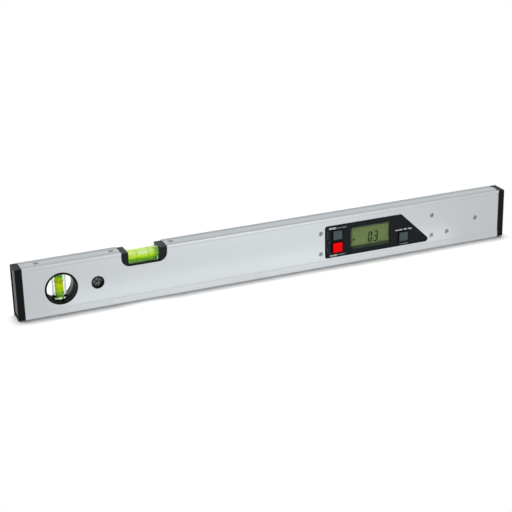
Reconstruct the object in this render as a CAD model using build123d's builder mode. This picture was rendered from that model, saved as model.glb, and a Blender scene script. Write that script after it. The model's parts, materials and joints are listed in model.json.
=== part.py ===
from build123d import *
import os

# Digital spirit level. X runs along the level, the front faces -Y and Z points up from the base.
# Depths named here are distances from the mid plane towards the front.

os.makedirs("parts", exist_ok=True)

# Overall size
LENGTH = 611.0
HEIGHT = 60.0
THICKNESS = 22.5
CAP_LENGTH = 8.0
HALF_THICKNESS = THICKNESS / 2
MID_HEIGHT = HEIGHT / 2

# Aluminium section
PROFILE_LENGTH = LENGTH - 2 * CAP_LENGTH
FACE_RECESS = 0.5
FACE = HALF_THICKNESS - FACE_RECESS
WALL = 2.0
CAVITY = FACE - WALL
CAVITY_LOW = 3.0
CAVITY_HIGH = HEIGHT - 3.0
CAVITY_R = 1.0
BASE_RAIL = 7.5
TOP_RAIL = 3.2
BASE_CHAMFER = 1.0
TOP_EDGE_R = 0.8
GROOVE_IN = 4.5
GROOVE_OUT = 9.2
GROOVE_DEPTH = 0.7
CUT_PAST = 2.0

# End caps
CAP_INSET = 0.2
CAP_CORNER_R = 1.2
CAP_EDGE_R = 0.5
CAP_BORDER = 2.6
CAP_PANEL_DEPTH = 1.1
CAP_PANEL_R = 1.5
CAP_INSERT = 10.0
CAP_INSERT_GAP = 0.1
CAP_INSERT_WALL = 1.8

# Countersunk screws
SCREW_R = 1.25
SCREW_HEAD_R = 2.75
TOP_HEAD_R = 3.4
SCREW_SINK = 0.08
SCREW_GAP = 0.1
SLOT_WIDE = 1.1
SLOT_DEEP = 0.9
SLOT_ANGLE = 50.0
CROSS_LONG = 2.6
CROSS_WIDE = 0.7
CROSS_DEEP = 0.9
SCREW_ROOM = 0.3
PLUMB_SCREW_X = -279.0
PLUMB_SCREW_LENGTH = 9.0
TOP_SCREW_SPREAD = 35.15
TOP_SCREW_LENGTH = 8.0
MODULE_SCREW_LENGTH = 7.5
BOX_SCREW_LENGTH = 6.8

# Vials: a clear cylinder with a barrel-shaped bore, stopped at one end
VIAL_CHAMFER = 0.6
VIAL_GAP = 0.06
BORE_BULGE = 0.15
LIQUID_GAP = 0.03
STOPPER_GAP = 0.05
RING_LIFT = 0.04
RING_THICK = 0.21
RING_WIDTH = 0.6
RING_GAP = 0.05

# Plumb window and its vial
PLUMB_X = -255.4
PLUMB_HOLE_R = 18.8
PLUMB_RING_R = 18.7
PLUMB_SIGHT_R = 16.4
PLUMB_SPIGOT_R = 17.6
PLUMB_SPIGOT_DEPTH = 8.0
PLUMB_SEAT_R = 17.7
PLUMB_SEAT_DEPTH = 7.9
PLUMB_BLOCK_LEFT = -285.0
PLUMB_BLOCK_RIGHT = -233.0
PLUMB_BLOCK_DEPTH = 8.6
BLOCK_GAP = 0.2
PLUMB_VIAL_R = 7.75
PLUMB_VIAL_HALF = 20.0
PLUMB_BORE_R = 3.3
PLUMB_BORE_LOW = -12.6
PLUMB_STOPPER_LOW = 15.5
PLUMB_RING_MIDDLE = -1.4
PLUMB_RING_SPREAD = 6.9
PLUMB_BUBBLE_R = 2.8
PLUMB_BUBBLE_HEIGHT = 3.7
PLUMB_BUBBLE_EDGE_R = 1.6
PLUMB_BUBBLE_GAP = 0.1

# Top pocket and its vial
TOP_VIAL_X = -159.0
TOP_VIAL_Z = 49.8
POCKET_WIDTH = 53.5
POCKET_FLOOR = 42.5
POCKET_R = 10.0
HOLDER_GAP = 0.12
HOLDER_TOP_GAP = 1.2
HOLDER_LIP = 0.7
HOLDER_SIGHT = 37.0
HOLDER_SIGHT_R = 1.0
HOLDER_EDGE = 0.4
TROUGH_DEPTH = 8.5
TROUGH_LOW = 39.6
TOP_VIAL_R = 8.25
TOP_VIAL_HALF = 22.0
TOP_BORE_R = 5.45
TOP_BORE_LOW = -18.0
TOP_STOPPER_LOW = 17.6
TOP_RING_MIDDLE = -0.2
TOP_RING_SPREAD = 7.0
TOP_BUBBLE_R = 2.0
TOP_BUBBLE_LENGTH = 14.0
TOP_BUBBLE_GAP = 0.2
TOP_BUBBLE_ROOM = 0.35
BRACKET_IN = 27.2
BRACKET_OUT = 41.5
BRACKET_DEPTH = 8.2
BRACKET_LOW = 48.0
BRACKET_NOSE_R = 6.4
BRACKET_NOSE_IN = 22.2
BRACKET_NOSE_OUT = 28.2

# Cup plugs in the small round holes
PLUG_X = -214.0
PLUG_HOLE_R = 7.5
PLUG_R = 7.4
PLUG_CUP_R = 5.9
PLUG_CUP_DEPTH = 3.4
PLUG_FLOOR = 1.2
PLUG_BARB_R = 7.8
PLUG_BARB_LENGTH = 0.8
PLUG_BARB_GAP = 0.1
PLUG_DIMPLE_R = 1.0
PLUG_DIMPLE_DEPTH = 0.4
PLUG_RIM_R = 0.5

# Display panel outline on the front
PANEL_LEFT = 62.4
PANEL_LOW = 10.4
PANEL_TOP = 50.6
PANEL_APEX = 162.4
PANEL_TIP = 203.9
PANEL_LEFT_R = 2.8
PANEL_TIP_R = 3.6
PANEL_APEX_R = 1.0
PANEL_GAP = 0.12
PANEL_RIM = 1.1
PANEL_FIELD = FACE - 0.5
PLATE_BACK = 6.5

# Display housing behind the front wall
FLANGE_LEFT = 52.5
FLANGE_RIGHT = 209.6
FLANGE_LOW = 8.0
FLANGE_TOP = 53.0
FLANGE_FRONT = CAVITY - 0.05
FLANGE_R = 3.0
TRAY_LEFT = 59.5
TRAY_RIGHT = 202.5
TRAY_LOW = 9.0
TRAY_TOP = 52.0
TRAY_WALL = 1.5
TRAY_BACK = -3.5
MODULE_BOSS_R = 2.6
MODULE_BOSS_BACK = 2.8
MODULE_SCREWS = [(x, z) for x in (57.2, 204.9) for z in (17.0, 42.4)]
POST_R = 2.6
POSTS = [(x, z) for x in (66.5, 196.5) for z in (15.0, 45.5)]
COVER_BACK = -5.3
COVER_LIP = 1.0
COVER_LIP_WALL = 1.2

# Window, display and board
WINDOW_LEFT = 98.8
WINDOW_RIGHT = 148.2
WINDOW_LOW = 18.9
WINDOW_TOP = 41.1
WINDOW_CORNER_R = 0.5
BEVEL_ANGLE = 45.0
LENS_FRONT = 7.8
LENS_BACK = 6.8
LENS_LEDGE = 2.0
LENS_GAP = 0.08
GASKET_BACK = 6.42
GASKET_SIDE = 1.4
GLASS_FRONT = 6.36
GLASS_BACK = 4.15
GLASS_LEDGE = 6.0
GLASS_LEDGE_Z = 4.8
CRADLE_GAP = 0.25
CRADLE_WALL = 1.0
REFLECTOR_FRONT = 4.1
REFLECTOR_BACK = 3.2
ZEBRA_HEIGHT = 1.8
BOARD_FRONT = 1.0
BOARD_BACK = -0.6
BOARD_LEFT = 62.0
BOARD_RIGHT = 200.0
BOARD_LOW = 11.5
BOARD_TOP = 49.5
BOARD_R = 1.0
BOARD_SCREW_R = 1.0
BOARD_SCREW_HEAD_R = 2.1
BOARD_SCREW_HEAD = 1.3
BOARD_SCREW_LENGTH = 5.0
PART_GAP = 0.03
CHIP_SPOT = (112.0, 30.0)
CHIP_SIZE = 12.0
CHIP_HEIGHT = 1.4
CHIP_EDGE = 0.3
SENSOR_SPOT = (178.0, 30.0)
SENSOR_LENGTH = 15.0
SENSOR_WIDTH = 11.0
SENSOR_HEIGHT = 2.3
SENSOR_R = 1.2
BUZZER_SPOT = (146.0, 24.0)
BUZZER_R = 6.5
BUZZER_HEIGHT = 2.5
BUZZER_HOLE_R = 0.9

# Keys and their switches
KEYS = {"hold": (79.0, 37.4, 12.0), "power": (79.0, 22.0, 13.0), "unit": (166.6, 21.4, 12.0)}
KEY_GAP = 0.2
KEY_TOP = HALF_THICKNESS
KEY_CORNER_R = 1.0
KEY_EDGE_R = 0.5
KEY_DISH_R = 90.0
KEY_DISH_DEPTH = 0.18
KEY_FLANGE_SIDE = 1.2
KEY_FLANGE_FRONT = 6.4
KEY_FLANGE_BACK = 5.4
KEY_STEM_R = 2.5
KEY_STEM_BACK = 5.1
KEY_WELL_DEPTH = 0.6
PLUNGER_R = 1.6
PLUNGER_BACK = 3.0
SWITCH_SIZE = 6.0
SWITCH_TOP = 4.3
SWITCH_R = 0.6
SWITCH_WELL_R = 1.8
SWITCH_WELL_BACK = 2.0

# Battery box behind the rear face
BOX_X = 246.0
BOX_Z = MID_HEIGHT
BOX_LENGTH = 55.7
BOX_HEIGHT = 29.7
BOX_R = 2.0
BOX_GAP = 0.15
BOX_FRONT = CAVITY - 0.05
BAY_LENGTH = 50.0
BAY_HEIGHT = 24.0
BAY_FRONT = 3.0
BAY_FLOOR = 1.2
BOX_BOSS_R = 3.0
BOX_SCREWS = [(225.9, 18.5), (265.4, 30.1)]
CELL_R = 5.25
CELL_LENGTH = 44.5
CELL_NUB_R = 1.9
CELL_NUB = 1.2
CELL_EDGE_R = 0.5
CELL_Y = 2.5
CELL_SPREAD = 5.6
CONTACT_THICK = 0.4
CONTACT_GAP = 0.15
CONTACT_HALF = 4.5
CONTACT_WIDTH = 7.0
BRIDGE_WIDTH = 18.5
DOOR_GAP = 0.25
DOOR_THICK = WALL
DOOR_PIN_R = 0.6
DOOR_PIN_GAP = 0.08
DOOR_PIN_SEAT = 2.0
DOOR_PIN_HOLE_R = DOOR_PIN_R + 0.02
DOOR_STOP = 1.3
DOOR_STOP_DEPTH = 1.5
DOOR_STOP_WIDTH = 6.0
DOOR_STOP_GAP = 0.1
SCOOP_R = 9.0
SCOOP_WIDTH = 12.0
SCOOP_DEPTH = 0.9
SCOOP_FROM_END = 6.5

# Leads between the battery contacts and the board
WIRE_R = 0.6
WIRE_HOLE_R = 0.8
WIRE_BEND_R = 12.0
WIRE_BOARD_Z = 3.0
WIRE_BOARD_Y = 1.35
WIRE_END_X = 190.0
WIRE_BEND_X = 212.0
WIRE_NOTCH_X = 205.0
WIRE_NOTCH = 1.5

BOTTOM = (Align.CENTER, Align.CENTER, Align.MIN)
UNDER = (Align.CENTER, Align.CENTER, Align.MAX)

TOP_VIAL = Plane((TOP_VIAL_X, 0, TOP_VIAL_Z), x_dir=(1, 0, 0), z_dir=(0, -1, 0))
PLUMB_VIAL = Plane((PLUMB_X, 0, MID_HEIGHT), x_dir=(0, 0, 1), z_dir=(0, -1, 0))
TOP_SCREWS = [TOP_VIAL_X - TOP_SCREW_SPREAD, TOP_VIAL_X + TOP_SCREW_SPREAD]


# Places, facing out of the part, on the front face, the top face and at a depth behind the front
def front_spots(points, depth=FACE):
    return [Plane((x, -depth, z), x_dir=(1, 0, 0), z_dir=(0, -1, 0)).location for x, z in points]


def rear_spots(points, depth):
    return [Plane((x, -depth, z), x_dir=(1, 0, 0), z_dir=(0, 1, 0)).location for x, z in points]


def top_spots(stations):
    return [Location((x, 0, HEIGHT)) for x in stations]


# Box between two stations along the level, two depths and two heights
def block(left, right, front, back, low, top, mode=Mode.ADD):
    with Locations(((left + right) / 2, -(front + back) / 2, (low + top) / 2)):
        Box(right - left, front - back, top - low, mode=mode)


# Rounded rectangle on a plane facing the front
def plate_sketch(depth, left, right, low, top, radius):
    with BuildSketch(Plane.XZ.offset(depth)) as plate:
        with Locations(((left + right) / 2, (low + top) / 2)):
            RectangleRounded(right - left, top - low, radius)
    return plate.sketch


def square_sketch(depth, x, z, size, radius):
    half = size / 2
    return plate_sketch(depth, x - half, x + half, z - half, z + half, radius)


# Countersunk screws with a slot, their heads just under the surface
def add_screws(spots, length, head_r=SCREW_HEAD_R):
    with Locations(*[spot * Pos(0, 0, -SCREW_SINK) for spot in spots]):
        Cylinder(SCREW_R, length, align=UNDER)
        Cone(SCREW_R, head_r, head_r - SCREW_R, align=UNDER)
    with Locations(*[spot * Pos(0, 0, -SCREW_SINK) * Rot(0, 0, SLOT_ANGLE) for spot in spots]):
        Box(2 * head_r, SLOT_WIDE, SLOT_DEEP, align=UNDER, mode=Mode.SUBTRACT)


# Clearance holes that take those screws
def cut_screw_holes(spots, depth):
    with Locations(*spots):
        Cylinder(SCREW_R + SCREW_GAP, depth, align=UNDER, mode=Mode.SUBTRACT)


# Outline of the display panel, grown or shrunk, on a plane facing the front
def panel_sketch(depth, grow):
    with BuildSketch(Plane.XZ.offset(depth)) as panel:
        with BuildLine():
            Polyline(
                (PANEL_LEFT, PANEL_LOW),
                (PANEL_TIP, PANEL_LOW),
                (PANEL_APEX, PANEL_TOP),
                (PANEL_LEFT, PANEL_TOP),
                close=True,
            )
        make_face()
        fillet(panel.vertices().group_by(Axis.X)[0], PANEL_LEFT_R)
        fillet(panel.vertices().sort_by(Axis.X)[-1], PANEL_TIP_R)
        fillet(panel.vertices().sort_by_distance((PANEL_APEX, PANEL_TOP))[0], PANEL_APEX_R)
        if grow:
            offset(amount=grow, mode=Mode.REPLACE)
    return panel.sketch


# U-shaped outline of the top pocket on a plane facing the front
def pocket_sketch(depth, inset, top):
    low = POCKET_FLOOR + inset
    with BuildSketch(Plane.XZ.offset(depth)) as pocket:
        with Locations((TOP_VIAL_X, (low + top) / 2)):
            Rectangle(POCKET_WIDTH - 2 * inset, top - low)
        fillet(pocket.vertices().group_by(Axis.Y)[0], POCKET_R - inset)
    return pocket.sketch


# Half sections of a vial, drawn along its axis with the bore's closed end at the low side
def vial_axis(plane):
    return Axis(plane.origin, plane.x_dir)


def vial_body_sketch(plane, radius, half, bore_r, bore_low, stopper_low):
    end_r = bore_r - BORE_BULGE
    with BuildSketch(plane) as body:
        with BuildLine():
            Polyline(
                (bore_low, 0),
                (-half, 0),
                (-half, radius),
                (half, radius),
                (half, end_r),
                (stopper_low, end_r),
            )
            middle = (bore_low + stopper_low) / 2
            ThreePointArc((stopper_low, end_r), (middle, bore_r), (bore_low, end_r))
            Line((bore_low, end_r), (bore_low, 0))
        make_face()
        chamfer(body.vertices().group_by(Axis.Y)[-1], VIAL_CHAMFER)
    return body.sketch


def vial_liquid_sketch(plane, bore_r, bore_low, stopper_low):
    low = bore_low + LIQUID_GAP
    high = stopper_low - LIQUID_GAP
    end_r = bore_r - BORE_BULGE - LIQUID_GAP
    with BuildSketch(plane) as liquid:
        with BuildLine():
            Polyline((high, end_r), (high, 0), (low, 0), (low, end_r))
            ThreePointArc((low, end_r), ((low + high) / 2, bore_r - LIQUID_GAP), (high, end_r))
        make_face()
    return liquid.sketch


def ring_sketch(plane, stations, inner, outer, width):
    with BuildSketch(plane) as rings:
        with Locations(*[(station, (inner + outer) / 2) for station in stations]):
            Rectangle(width, outer - inner)
    return rings.sketch


# Cup plug drawn for the front hole: rim flush with the face, barb behind the wall
def add_cup_plug():
    length = PLUG_CUP_DEPTH + PLUG_FLOOR
    with Locations(*front_spots([(PLUG_X, MID_HEIGHT)])):
        Cylinder(PLUG_R, length, align=UNDER)
    with Locations(*front_spots([(PLUG_X, MID_HEIGHT)], CAVITY - PLUG_BARB_GAP)):
        Cone(PLUG_R, PLUG_BARB_R, PLUG_BARB_LENGTH, align=UNDER)
    with Locations(*front_spots([(PLUG_X, MID_HEIGHT)])):
        Cylinder(PLUG_CUP_R, PLUG_CUP_DEPTH, align=UNDER, mode=Mode.SUBTRACT)
        Cylinder(PLUG_DIMPLE_R, PLUG_CUP_DEPTH + PLUG_DIMPLE_DEPTH, align=UNDER, mode=Mode.SUBTRACT)


# Bezel ring of the plumb window, drawn for the front: head in the wall, spigot in the holder
def add_plumb_ring():
    head = FACE - CAVITY
    with Locations(*front_spots([(PLUMB_X, MID_HEIGHT)])):
        Cylinder(PLUMB_RING_R, head, align=UNDER)
        Cylinder(PLUMB_SPIGOT_R, FACE - PLUMB_SPIGOT_DEPTH, align=UNDER)
        Cylinder(PLUMB_SIGHT_R, FACE - PLUMB_SPIGOT_DEPTH, align=UNDER, mode=Mode.SUBTRACT)


# Bent leaf that a battery presses on, from one end wall of the bay towards the cell
def leaf_sketch(height, wall_x, tip_x):
    thick = CONTACT_THICK if tip_x > wall_x else -CONTACT_THICK
    with BuildSketch(Plane.XY.offset(height)) as leaf:
        with BuildLine():
            outer_low = (wall_x, CELL_Y - CONTACT_HALF)
            outer_high = (wall_x, CELL_Y + CONTACT_HALF)
            inner_low = (wall_x, CELL_Y - CONTACT_HALF + CONTACT_THICK)
            inner_high = (wall_x, CELL_Y + CONTACT_HALF - CONTACT_THICK)
            ThreePointArc(outer_low, (tip_x, CELL_Y), outer_high)
            Line(outer_high, inner_high)
            ThreePointArc(inner_high, (tip_x - thick, CELL_Y), inner_low)
            Line(inner_low, outer_low)
        make_face()
    return leaf.sketch


# Battery cell along X, its nub pointing to the side given by sign
def add_cell(height, sign):
    body = CELL_LENGTH - CELL_NUB
    with Locations((BOX_X - sign * CELL_NUB / 2, CELL_Y, height)):
        Cylinder(CELL_R, body, rotation=(0, 90, 0))
    with Locations((BOX_X + sign * body / 2, CELL_Y, height)):
        Cylinder(CELL_NUB_R, CELL_NUB, rotation=(0, 90, 0))


# Lead from a battery contact to its pad on the board
def wire_path(height):
    inward = -1 if height > BOX_Z else 1
    pad_height = BOX_Z - inward * WIRE_BOARD_Z
    bay_left = BOX_X - BAY_LENGTH / 2
    points = [
        (bay_left - PART_GAP, CELL_Y, height),
        (WIRE_BEND_X, CELL_Y, height),
        (WIRE_NOTCH_X, WIRE_BOARD_Y, pad_height),
        (WIRE_END_X, WIRE_BOARD_Y, pad_height),
    ]
    return FilletPolyline(*points, radius=WIRE_BEND_R, mode=Mode.PRIVATE)


def write(piece, name):
    piece.part.label = name
    export_step(piece.part, f"parts/{name}.step")


# Aluminium box section with its cut-outs
with BuildPart() as profile:
    with BuildSketch(Plane.YZ.offset(-PROFILE_LENGTH / 2)) as section:
        with BuildLine():
            Polyline(
                (0, 0),
                (HALF_THICKNESS, 0),
                (HALF_THICKNESS, BASE_RAIL),
                (FACE, BASE_RAIL + FACE_RECESS),
                (FACE, HEIGHT - TOP_RAIL - FACE_RECESS),
                (HALF_THICKNESS, HEIGHT - TOP_RAIL),
                (HALF_THICKNESS, HEIGHT),
                (GROOVE_OUT, HEIGHT),
                (GROOVE_OUT - GROOVE_DEPTH, HEIGHT - GROOVE_DEPTH),
                (GROOVE_IN + GROOVE_DEPTH, HEIGHT - GROOVE_DEPTH),
                (GROOVE_IN, HEIGHT),
                (0, HEIGHT),
            )
            mirror(about=Plane.YZ)
        make_face()
        sides = section.vertices().group_by(Axis.X)
        chamfer([side.sort_by(Axis.Y)[0] for side in (sides[0], sides[-1])], BASE_CHAMFER)
        sides = section.vertices().group_by(Axis.X)
        fillet([side.sort_by(Axis.Y)[-1] for side in (sides[0], sides[-1])], TOP_EDGE_R)
        with Locations((0, (CAVITY_LOW + CAVITY_HIGH) / 2)):
            RectangleRounded(2 * CAVITY, CAVITY_HIGH - CAVITY_LOW, CAVITY_R, mode=Mode.SUBTRACT)
    extrude(amount=PROFILE_LENGTH)
    with BuildSketch(Plane.XZ):
        with Locations((PLUMB_X, MID_HEIGHT)):
            Circle(PLUMB_HOLE_R)
        with Locations((PLUG_X, MID_HEIGHT)):
            Circle(PLUG_HOLE_R)
    extrude(amount=THICKNESS, both=True, mode=Mode.SUBTRACT)
    extrude(pocket_sketch(-THICKNESS, 0, HEIGHT + CUT_PAST), amount=2 * THICKNESS, mode=Mode.SUBTRACT)
    extrude(panel_sketch(CAVITY - CUT_PAST, 0), amount=WALL + 2 * CUT_PAST, mode=Mode.SUBTRACT)
    with BuildSketch(Plane.XZ.offset(-FACE - CUT_PAST)):
        with Locations((BOX_X, BOX_Z)):
            RectangleRounded(BOX_LENGTH + 2 * BOX_GAP, BOX_HEIGHT + 2 * BOX_GAP, BOX_R)
    extrude(amount=WALL + 2 * CUT_PAST, mode=Mode.SUBTRACT)
    with Locations(*front_spots(MODULE_SCREWS + BOX_SCREWS)):
        CounterSinkHole(SCREW_R + SCREW_GAP, SCREW_HEAD_R + SCREW_GAP, WALL + CUT_PAST, 90)
    with Locations(*top_spots([PLUMB_SCREW_X] + TOP_SCREWS)):
        CounterSinkHole(SCREW_R + SCREW_GAP, TOP_HEAD_R + SCREW_GAP, HEIGHT - CAVITY_HIGH + CUT_PAST, 90)
write(profile, "profile")

# End caps: a head with a recessed end panel and a hollow insert in the section
with BuildPart() as left_end_cap:
    with BuildSketch(Plane.YZ.offset(-LENGTH / 2)):
        with Locations((0, MID_HEIGHT)):
            RectangleRounded(THICKNESS - 2 * CAP_INSET, HEIGHT - 2 * CAP_INSET, CAP_CORNER_R)
    extrude(amount=CAP_LENGTH)
    fillet(left_end_cap.faces().sort_by(Axis.X)[0].edges(), CAP_EDGE_R)
    with BuildSketch(Plane.YZ.offset(-LENGTH / 2)):
        with Locations((0, MID_HEIGHT)):
            RectangleRounded(THICKNESS - 2 * CAP_BORDER, HEIGHT - 2 * CAP_BORDER, CAP_PANEL_R)
    extrude(amount=CAP_PANEL_DEPTH, mode=Mode.SUBTRACT)
    insert_width = 2 * (CAVITY - CAP_INSERT_GAP)
    insert_height = CAVITY_HIGH - CAVITY_LOW - 2 * CAP_INSERT_GAP
    with BuildSketch(Plane.YZ.offset(-PROFILE_LENGTH / 2)):
        with Locations((0, (CAVITY_LOW + CAVITY_HIGH) / 2)):
            RectangleRounded(insert_width, insert_height, CAVITY_R)
            Rectangle(
                insert_width - 2 * CAP_INSERT_WALL,
                insert_height - 2 * CAP_INSERT_WALL,
                mode=Mode.SUBTRACT,
            )
    extrude(amount=CAP_INSERT)
write(left_end_cap, "left_end_cap")

with BuildPart() as right_end_cap:
    mirror(left_end_cap.part, about=Plane.YZ)
write(right_end_cap, "right_end_cap")

# Block inside the section that carries the plumb vial
with BuildPart() as plumb_holder:
    block(
        PLUMB_BLOCK_LEFT,
        PLUMB_BLOCK_RIGHT,
        PLUMB_BLOCK_DEPTH,
        -PLUMB_BLOCK_DEPTH,
        CAVITY_LOW + BLOCK_GAP,
        CAVITY_HIGH - BLOCK_GAP,
    )
    fillet(plumb_holder.edges().filter_by(Axis.X), CAVITY_R)
    with BuildSketch(Plane.XZ):
        with Locations((PLUMB_X, MID_HEIGHT)):
            Circle(PLUMB_SIGHT_R)
    extrude(amount=THICKNESS, both=True, mode=Mode.SUBTRACT)
    for seat in (PLUMB_SEAT_DEPTH, -PLUMB_SEAT_DEPTH - CUT_PAST):
        with BuildSketch(Plane.XZ.offset(seat)):
            with Locations((PLUMB_X, MID_HEIGHT)):
                Circle(PLUMB_SEAT_R)
        extrude(amount=CUT_PAST, mode=Mode.SUBTRACT)
    with Locations((PLUMB_X, 0, MID_HEIGHT - PLUMB_VIAL_HALF - VIAL_GAP)):
        Cylinder(PLUMB_VIAL_R + VIAL_GAP, HEIGHT, align=BOTTOM, mode=Mode.SUBTRACT)
    cut_screw_holes(top_spots([PLUMB_SCREW_X]), PLUMB_SCREW_LENGTH + SCREW_ROOM)
write(plumb_holder, "plumb_holder")

with BuildPart() as plumb_ring_front:
    add_plumb_ring()
write(plumb_ring_front, "plumb_ring_front")

with BuildPart() as plumb_ring_rear:
    mirror(plumb_ring_front.part, about=Plane.XZ)
write(plumb_ring_rear, "plumb_ring_rear")

with BuildPart() as plumb_holder_screw:
    add_screws(top_spots([PLUMB_SCREW_X]), PLUMB_SCREW_LENGTH, TOP_HEAD_R)
write(plumb_holder_screw, "plumb_holder_screw")

# The two vials: clear body, stopper, marker rings and liquid
VIALS = {
    "plumb": (PLUMB_VIAL, PLUMB_VIAL_R, PLUMB_VIAL_HALF, PLUMB_BORE_R, PLUMB_BORE_LOW, PLUMB_STOPPER_LOW),
    "top": (TOP_VIAL, TOP_VIAL_R, TOP_VIAL_HALF, TOP_BORE_R, TOP_BORE_LOW, TOP_STOPPER_LOW),
}
RING_STATIONS = {
    "plumb": [PLUMB_RING_MIDDLE - PLUMB_RING_SPREAD, PLUMB_RING_MIDDLE + PLUMB_RING_SPREAD],
    "top": [TOP_RING_MIDDLE - TOP_RING_SPREAD, TOP_RING_MIDDLE + TOP_RING_SPREAD],
}
TOP_BUBBLE_Z = TOP_VIAL_Z + TOP_BORE_R - TOP_BUBBLE_GAP - TOP_BUBBLE_R
for name, (plane, vial_r, half, bore_r, bore_low, stopper_low) in VIALS.items():
    axis = vial_axis(plane)
    ring_stations = RING_STATIONS[name]
    end_r = bore_r - BORE_BULGE
    ring_in = bore_r + RING_LIFT
    ring_out = ring_in + RING_THICK

    with BuildPart() as vial_body:
        revolve(vial_body_sketch(plane, vial_r, half, bore_r, bore_low, stopper_low), axis=axis)
        groove = ring_sketch(plane, ring_stations, end_r, ring_out + RING_GAP, RING_WIDTH + 2 * RING_GAP)
        revolve(groove, axis=axis, mode=Mode.SUBTRACT)
    write(vial_body, f"{name}_vial_body")

    with BuildPart() as vial_rings:
        revolve(ring_sketch(plane, ring_stations, ring_in, ring_out, RING_WIDTH), axis=axis)
    write(vial_rings, f"{name}_vial_rings")

    with BuildPart() as vial_plug:
        stopper = ring_sketch(plane, [(stopper_low + half) / 2], 0, end_r - STOPPER_GAP, half - stopper_low)
        revolve(stopper, axis=axis)
    write(vial_plug, f"{name}_vial_plug")

    with BuildPart() as vial_liquid:
        if name == "plumb":
            surface = stopper_low - PLUMB_BUBBLE_HEIGHT - 3 * PLUMB_BUBBLE_GAP
            revolve(vial_liquid_sketch(plane, bore_r, bore_low, surface), axis=axis)
        else:
            revolve(vial_liquid_sketch(plane, bore_r, bore_low, stopper_low), axis=axis)
            room_r = TOP_BUBBLE_R + TOP_BUBBLE_ROOM
            straight = TOP_BUBBLE_LENGTH - 2 * TOP_BUBBLE_R
            with Locations((TOP_VIAL_X, 0, TOP_BUBBLE_Z)):
                Cylinder(room_r, straight, rotation=(0, 90, 0), mode=Mode.SUBTRACT)
                with Locations((-straight / 2, 0, 0), (straight / 2, 0, 0)):
                    Sphere(room_r, mode=Mode.SUBTRACT)
    write(vial_liquid, f"{name}_vial_liquid")

# Bubble at the top of the plumb vial while the level lies flat
with BuildPart() as plumb_bubble:
    with Locations((PLUMB_X, 0, MID_HEIGHT + PLUMB_STOPPER_LOW - PLUMB_BUBBLE_GAP)):
        Cylinder(PLUMB_BUBBLE_R, PLUMB_BUBBLE_HEIGHT, align=UNDER)
    fillet(plumb_bubble.edges().filter_by(GeomType.CIRCLE), PLUMB_BUBBLE_EDGE_R)
write(plumb_bubble, "plumb_bubble")

# Long bubble in the middle of the level vial, at the top of its bore
with BuildPart() as top_bubble:
    straight = TOP_BUBBLE_LENGTH - 2 * TOP_BUBBLE_R
    with Locations((TOP_VIAL_X, 0, TOP_BUBBLE_Z)):
        Cylinder(TOP_BUBBLE_R, straight, rotation=(0, 90, 0))
        with Locations((-straight / 2, 0, 0), (straight / 2, 0, 0)):
            Sphere(TOP_BUBBLE_R)
write(top_bubble, "top_bubble")

# U-shaped holder of the level vial, flush with the faces, with a trough under the vial
with BuildPart() as top_vial_holder:
    extrude(pocket_sketch(-FACE, HOLDER_GAP, HEIGHT - HOLDER_TOP_GAP), amount=2 * FACE)
    chamfer(
        top_vial_holder.faces().filter_by(Axis.Y).edges() - top_vial_holder.edges().filter_by(Axis.Y),
        HOLDER_EDGE,
    )
    trough_half = POCKET_WIDTH / 2 - 2 * HOLDER_GAP
    block(
        TOP_VIAL_X - trough_half + POCKET_R,
        TOP_VIAL_X + trough_half - POCKET_R,
        TROUGH_DEPTH,
        -TROUGH_DEPTH,
        TROUGH_LOW,
        POCKET_FLOOR + HOLDER_LIP,
    )
    sight_low = POCKET_FLOOR + HOLDER_LIP
    sight_top = HEIGHT + CUT_PAST
    with BuildSketch(Plane.XZ) as sight:
        with Locations((TOP_VIAL_X, (sight_low + sight_top) / 2)):
            Rectangle(HOLDER_SIGHT, sight_top - sight_low)
        fillet(sight.vertices().group_by(Axis.Y)[0], HOLDER_SIGHT_R)
    extrude(amount=THICKNESS, both=True, mode=Mode.SUBTRACT)
    with Locations((TOP_VIAL_X, 0, TOP_VIAL_Z)):
        Cylinder(TOP_VIAL_R + VIAL_GAP, POCKET_WIDTH + CUT_PAST, rotation=(0, 90, 0), mode=Mode.SUBTRACT)
write(top_vial_holder, "top_vial_holder")

# Brackets under the top wall: their noses close the holder's bore behind the vial's ends
with BuildPart() as top_vial_brackets:
    for side in (-1, 1):
        ends = sorted((TOP_VIAL_X + side * BRACKET_IN, TOP_VIAL_X + side * BRACKET_OUT))
        block(*ends, BRACKET_DEPTH, -BRACKET_DEPTH, BRACKET_LOW, CAVITY_HIGH - BLOCK_GAP)
        nose_middle = TOP_VIAL_X + side * (BRACKET_NOSE_IN + BRACKET_NOSE_OUT) / 2
        with Locations((nose_middle, 0, TOP_VIAL_Z)):
            Cylinder(BRACKET_NOSE_R, BRACKET_NOSE_OUT - BRACKET_NOSE_IN, rotation=(0, 90, 0))
    cut_screw_holes(top_spots(TOP_SCREWS), TOP_SCREW_LENGTH + SCREW_ROOM)
write(top_vial_brackets, "top_vial_brackets")

with BuildPart() as top_vial_screws:
    add_screws(top_spots(TOP_SCREWS), TOP_SCREW_LENGTH, TOP_HEAD_R)
write(top_vial_screws, "top_vial_screws")

# Cup plugs in the small holes of both faces
with BuildPart() as front_hole_plug:
    add_cup_plug()
    rim = front_hole_plug.faces().filter_by(Axis.Y).sort_by(Axis.Y)[0]
    fillet(rim.edges(), PLUG_RIM_R)
write(front_hole_plug, "front_hole_plug")

with BuildPart() as rear_hole_plug:
    mirror(front_hole_plug.part, about=Plane.XZ)
write(rear_hole_plug, "rear_hole_plug")

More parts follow.
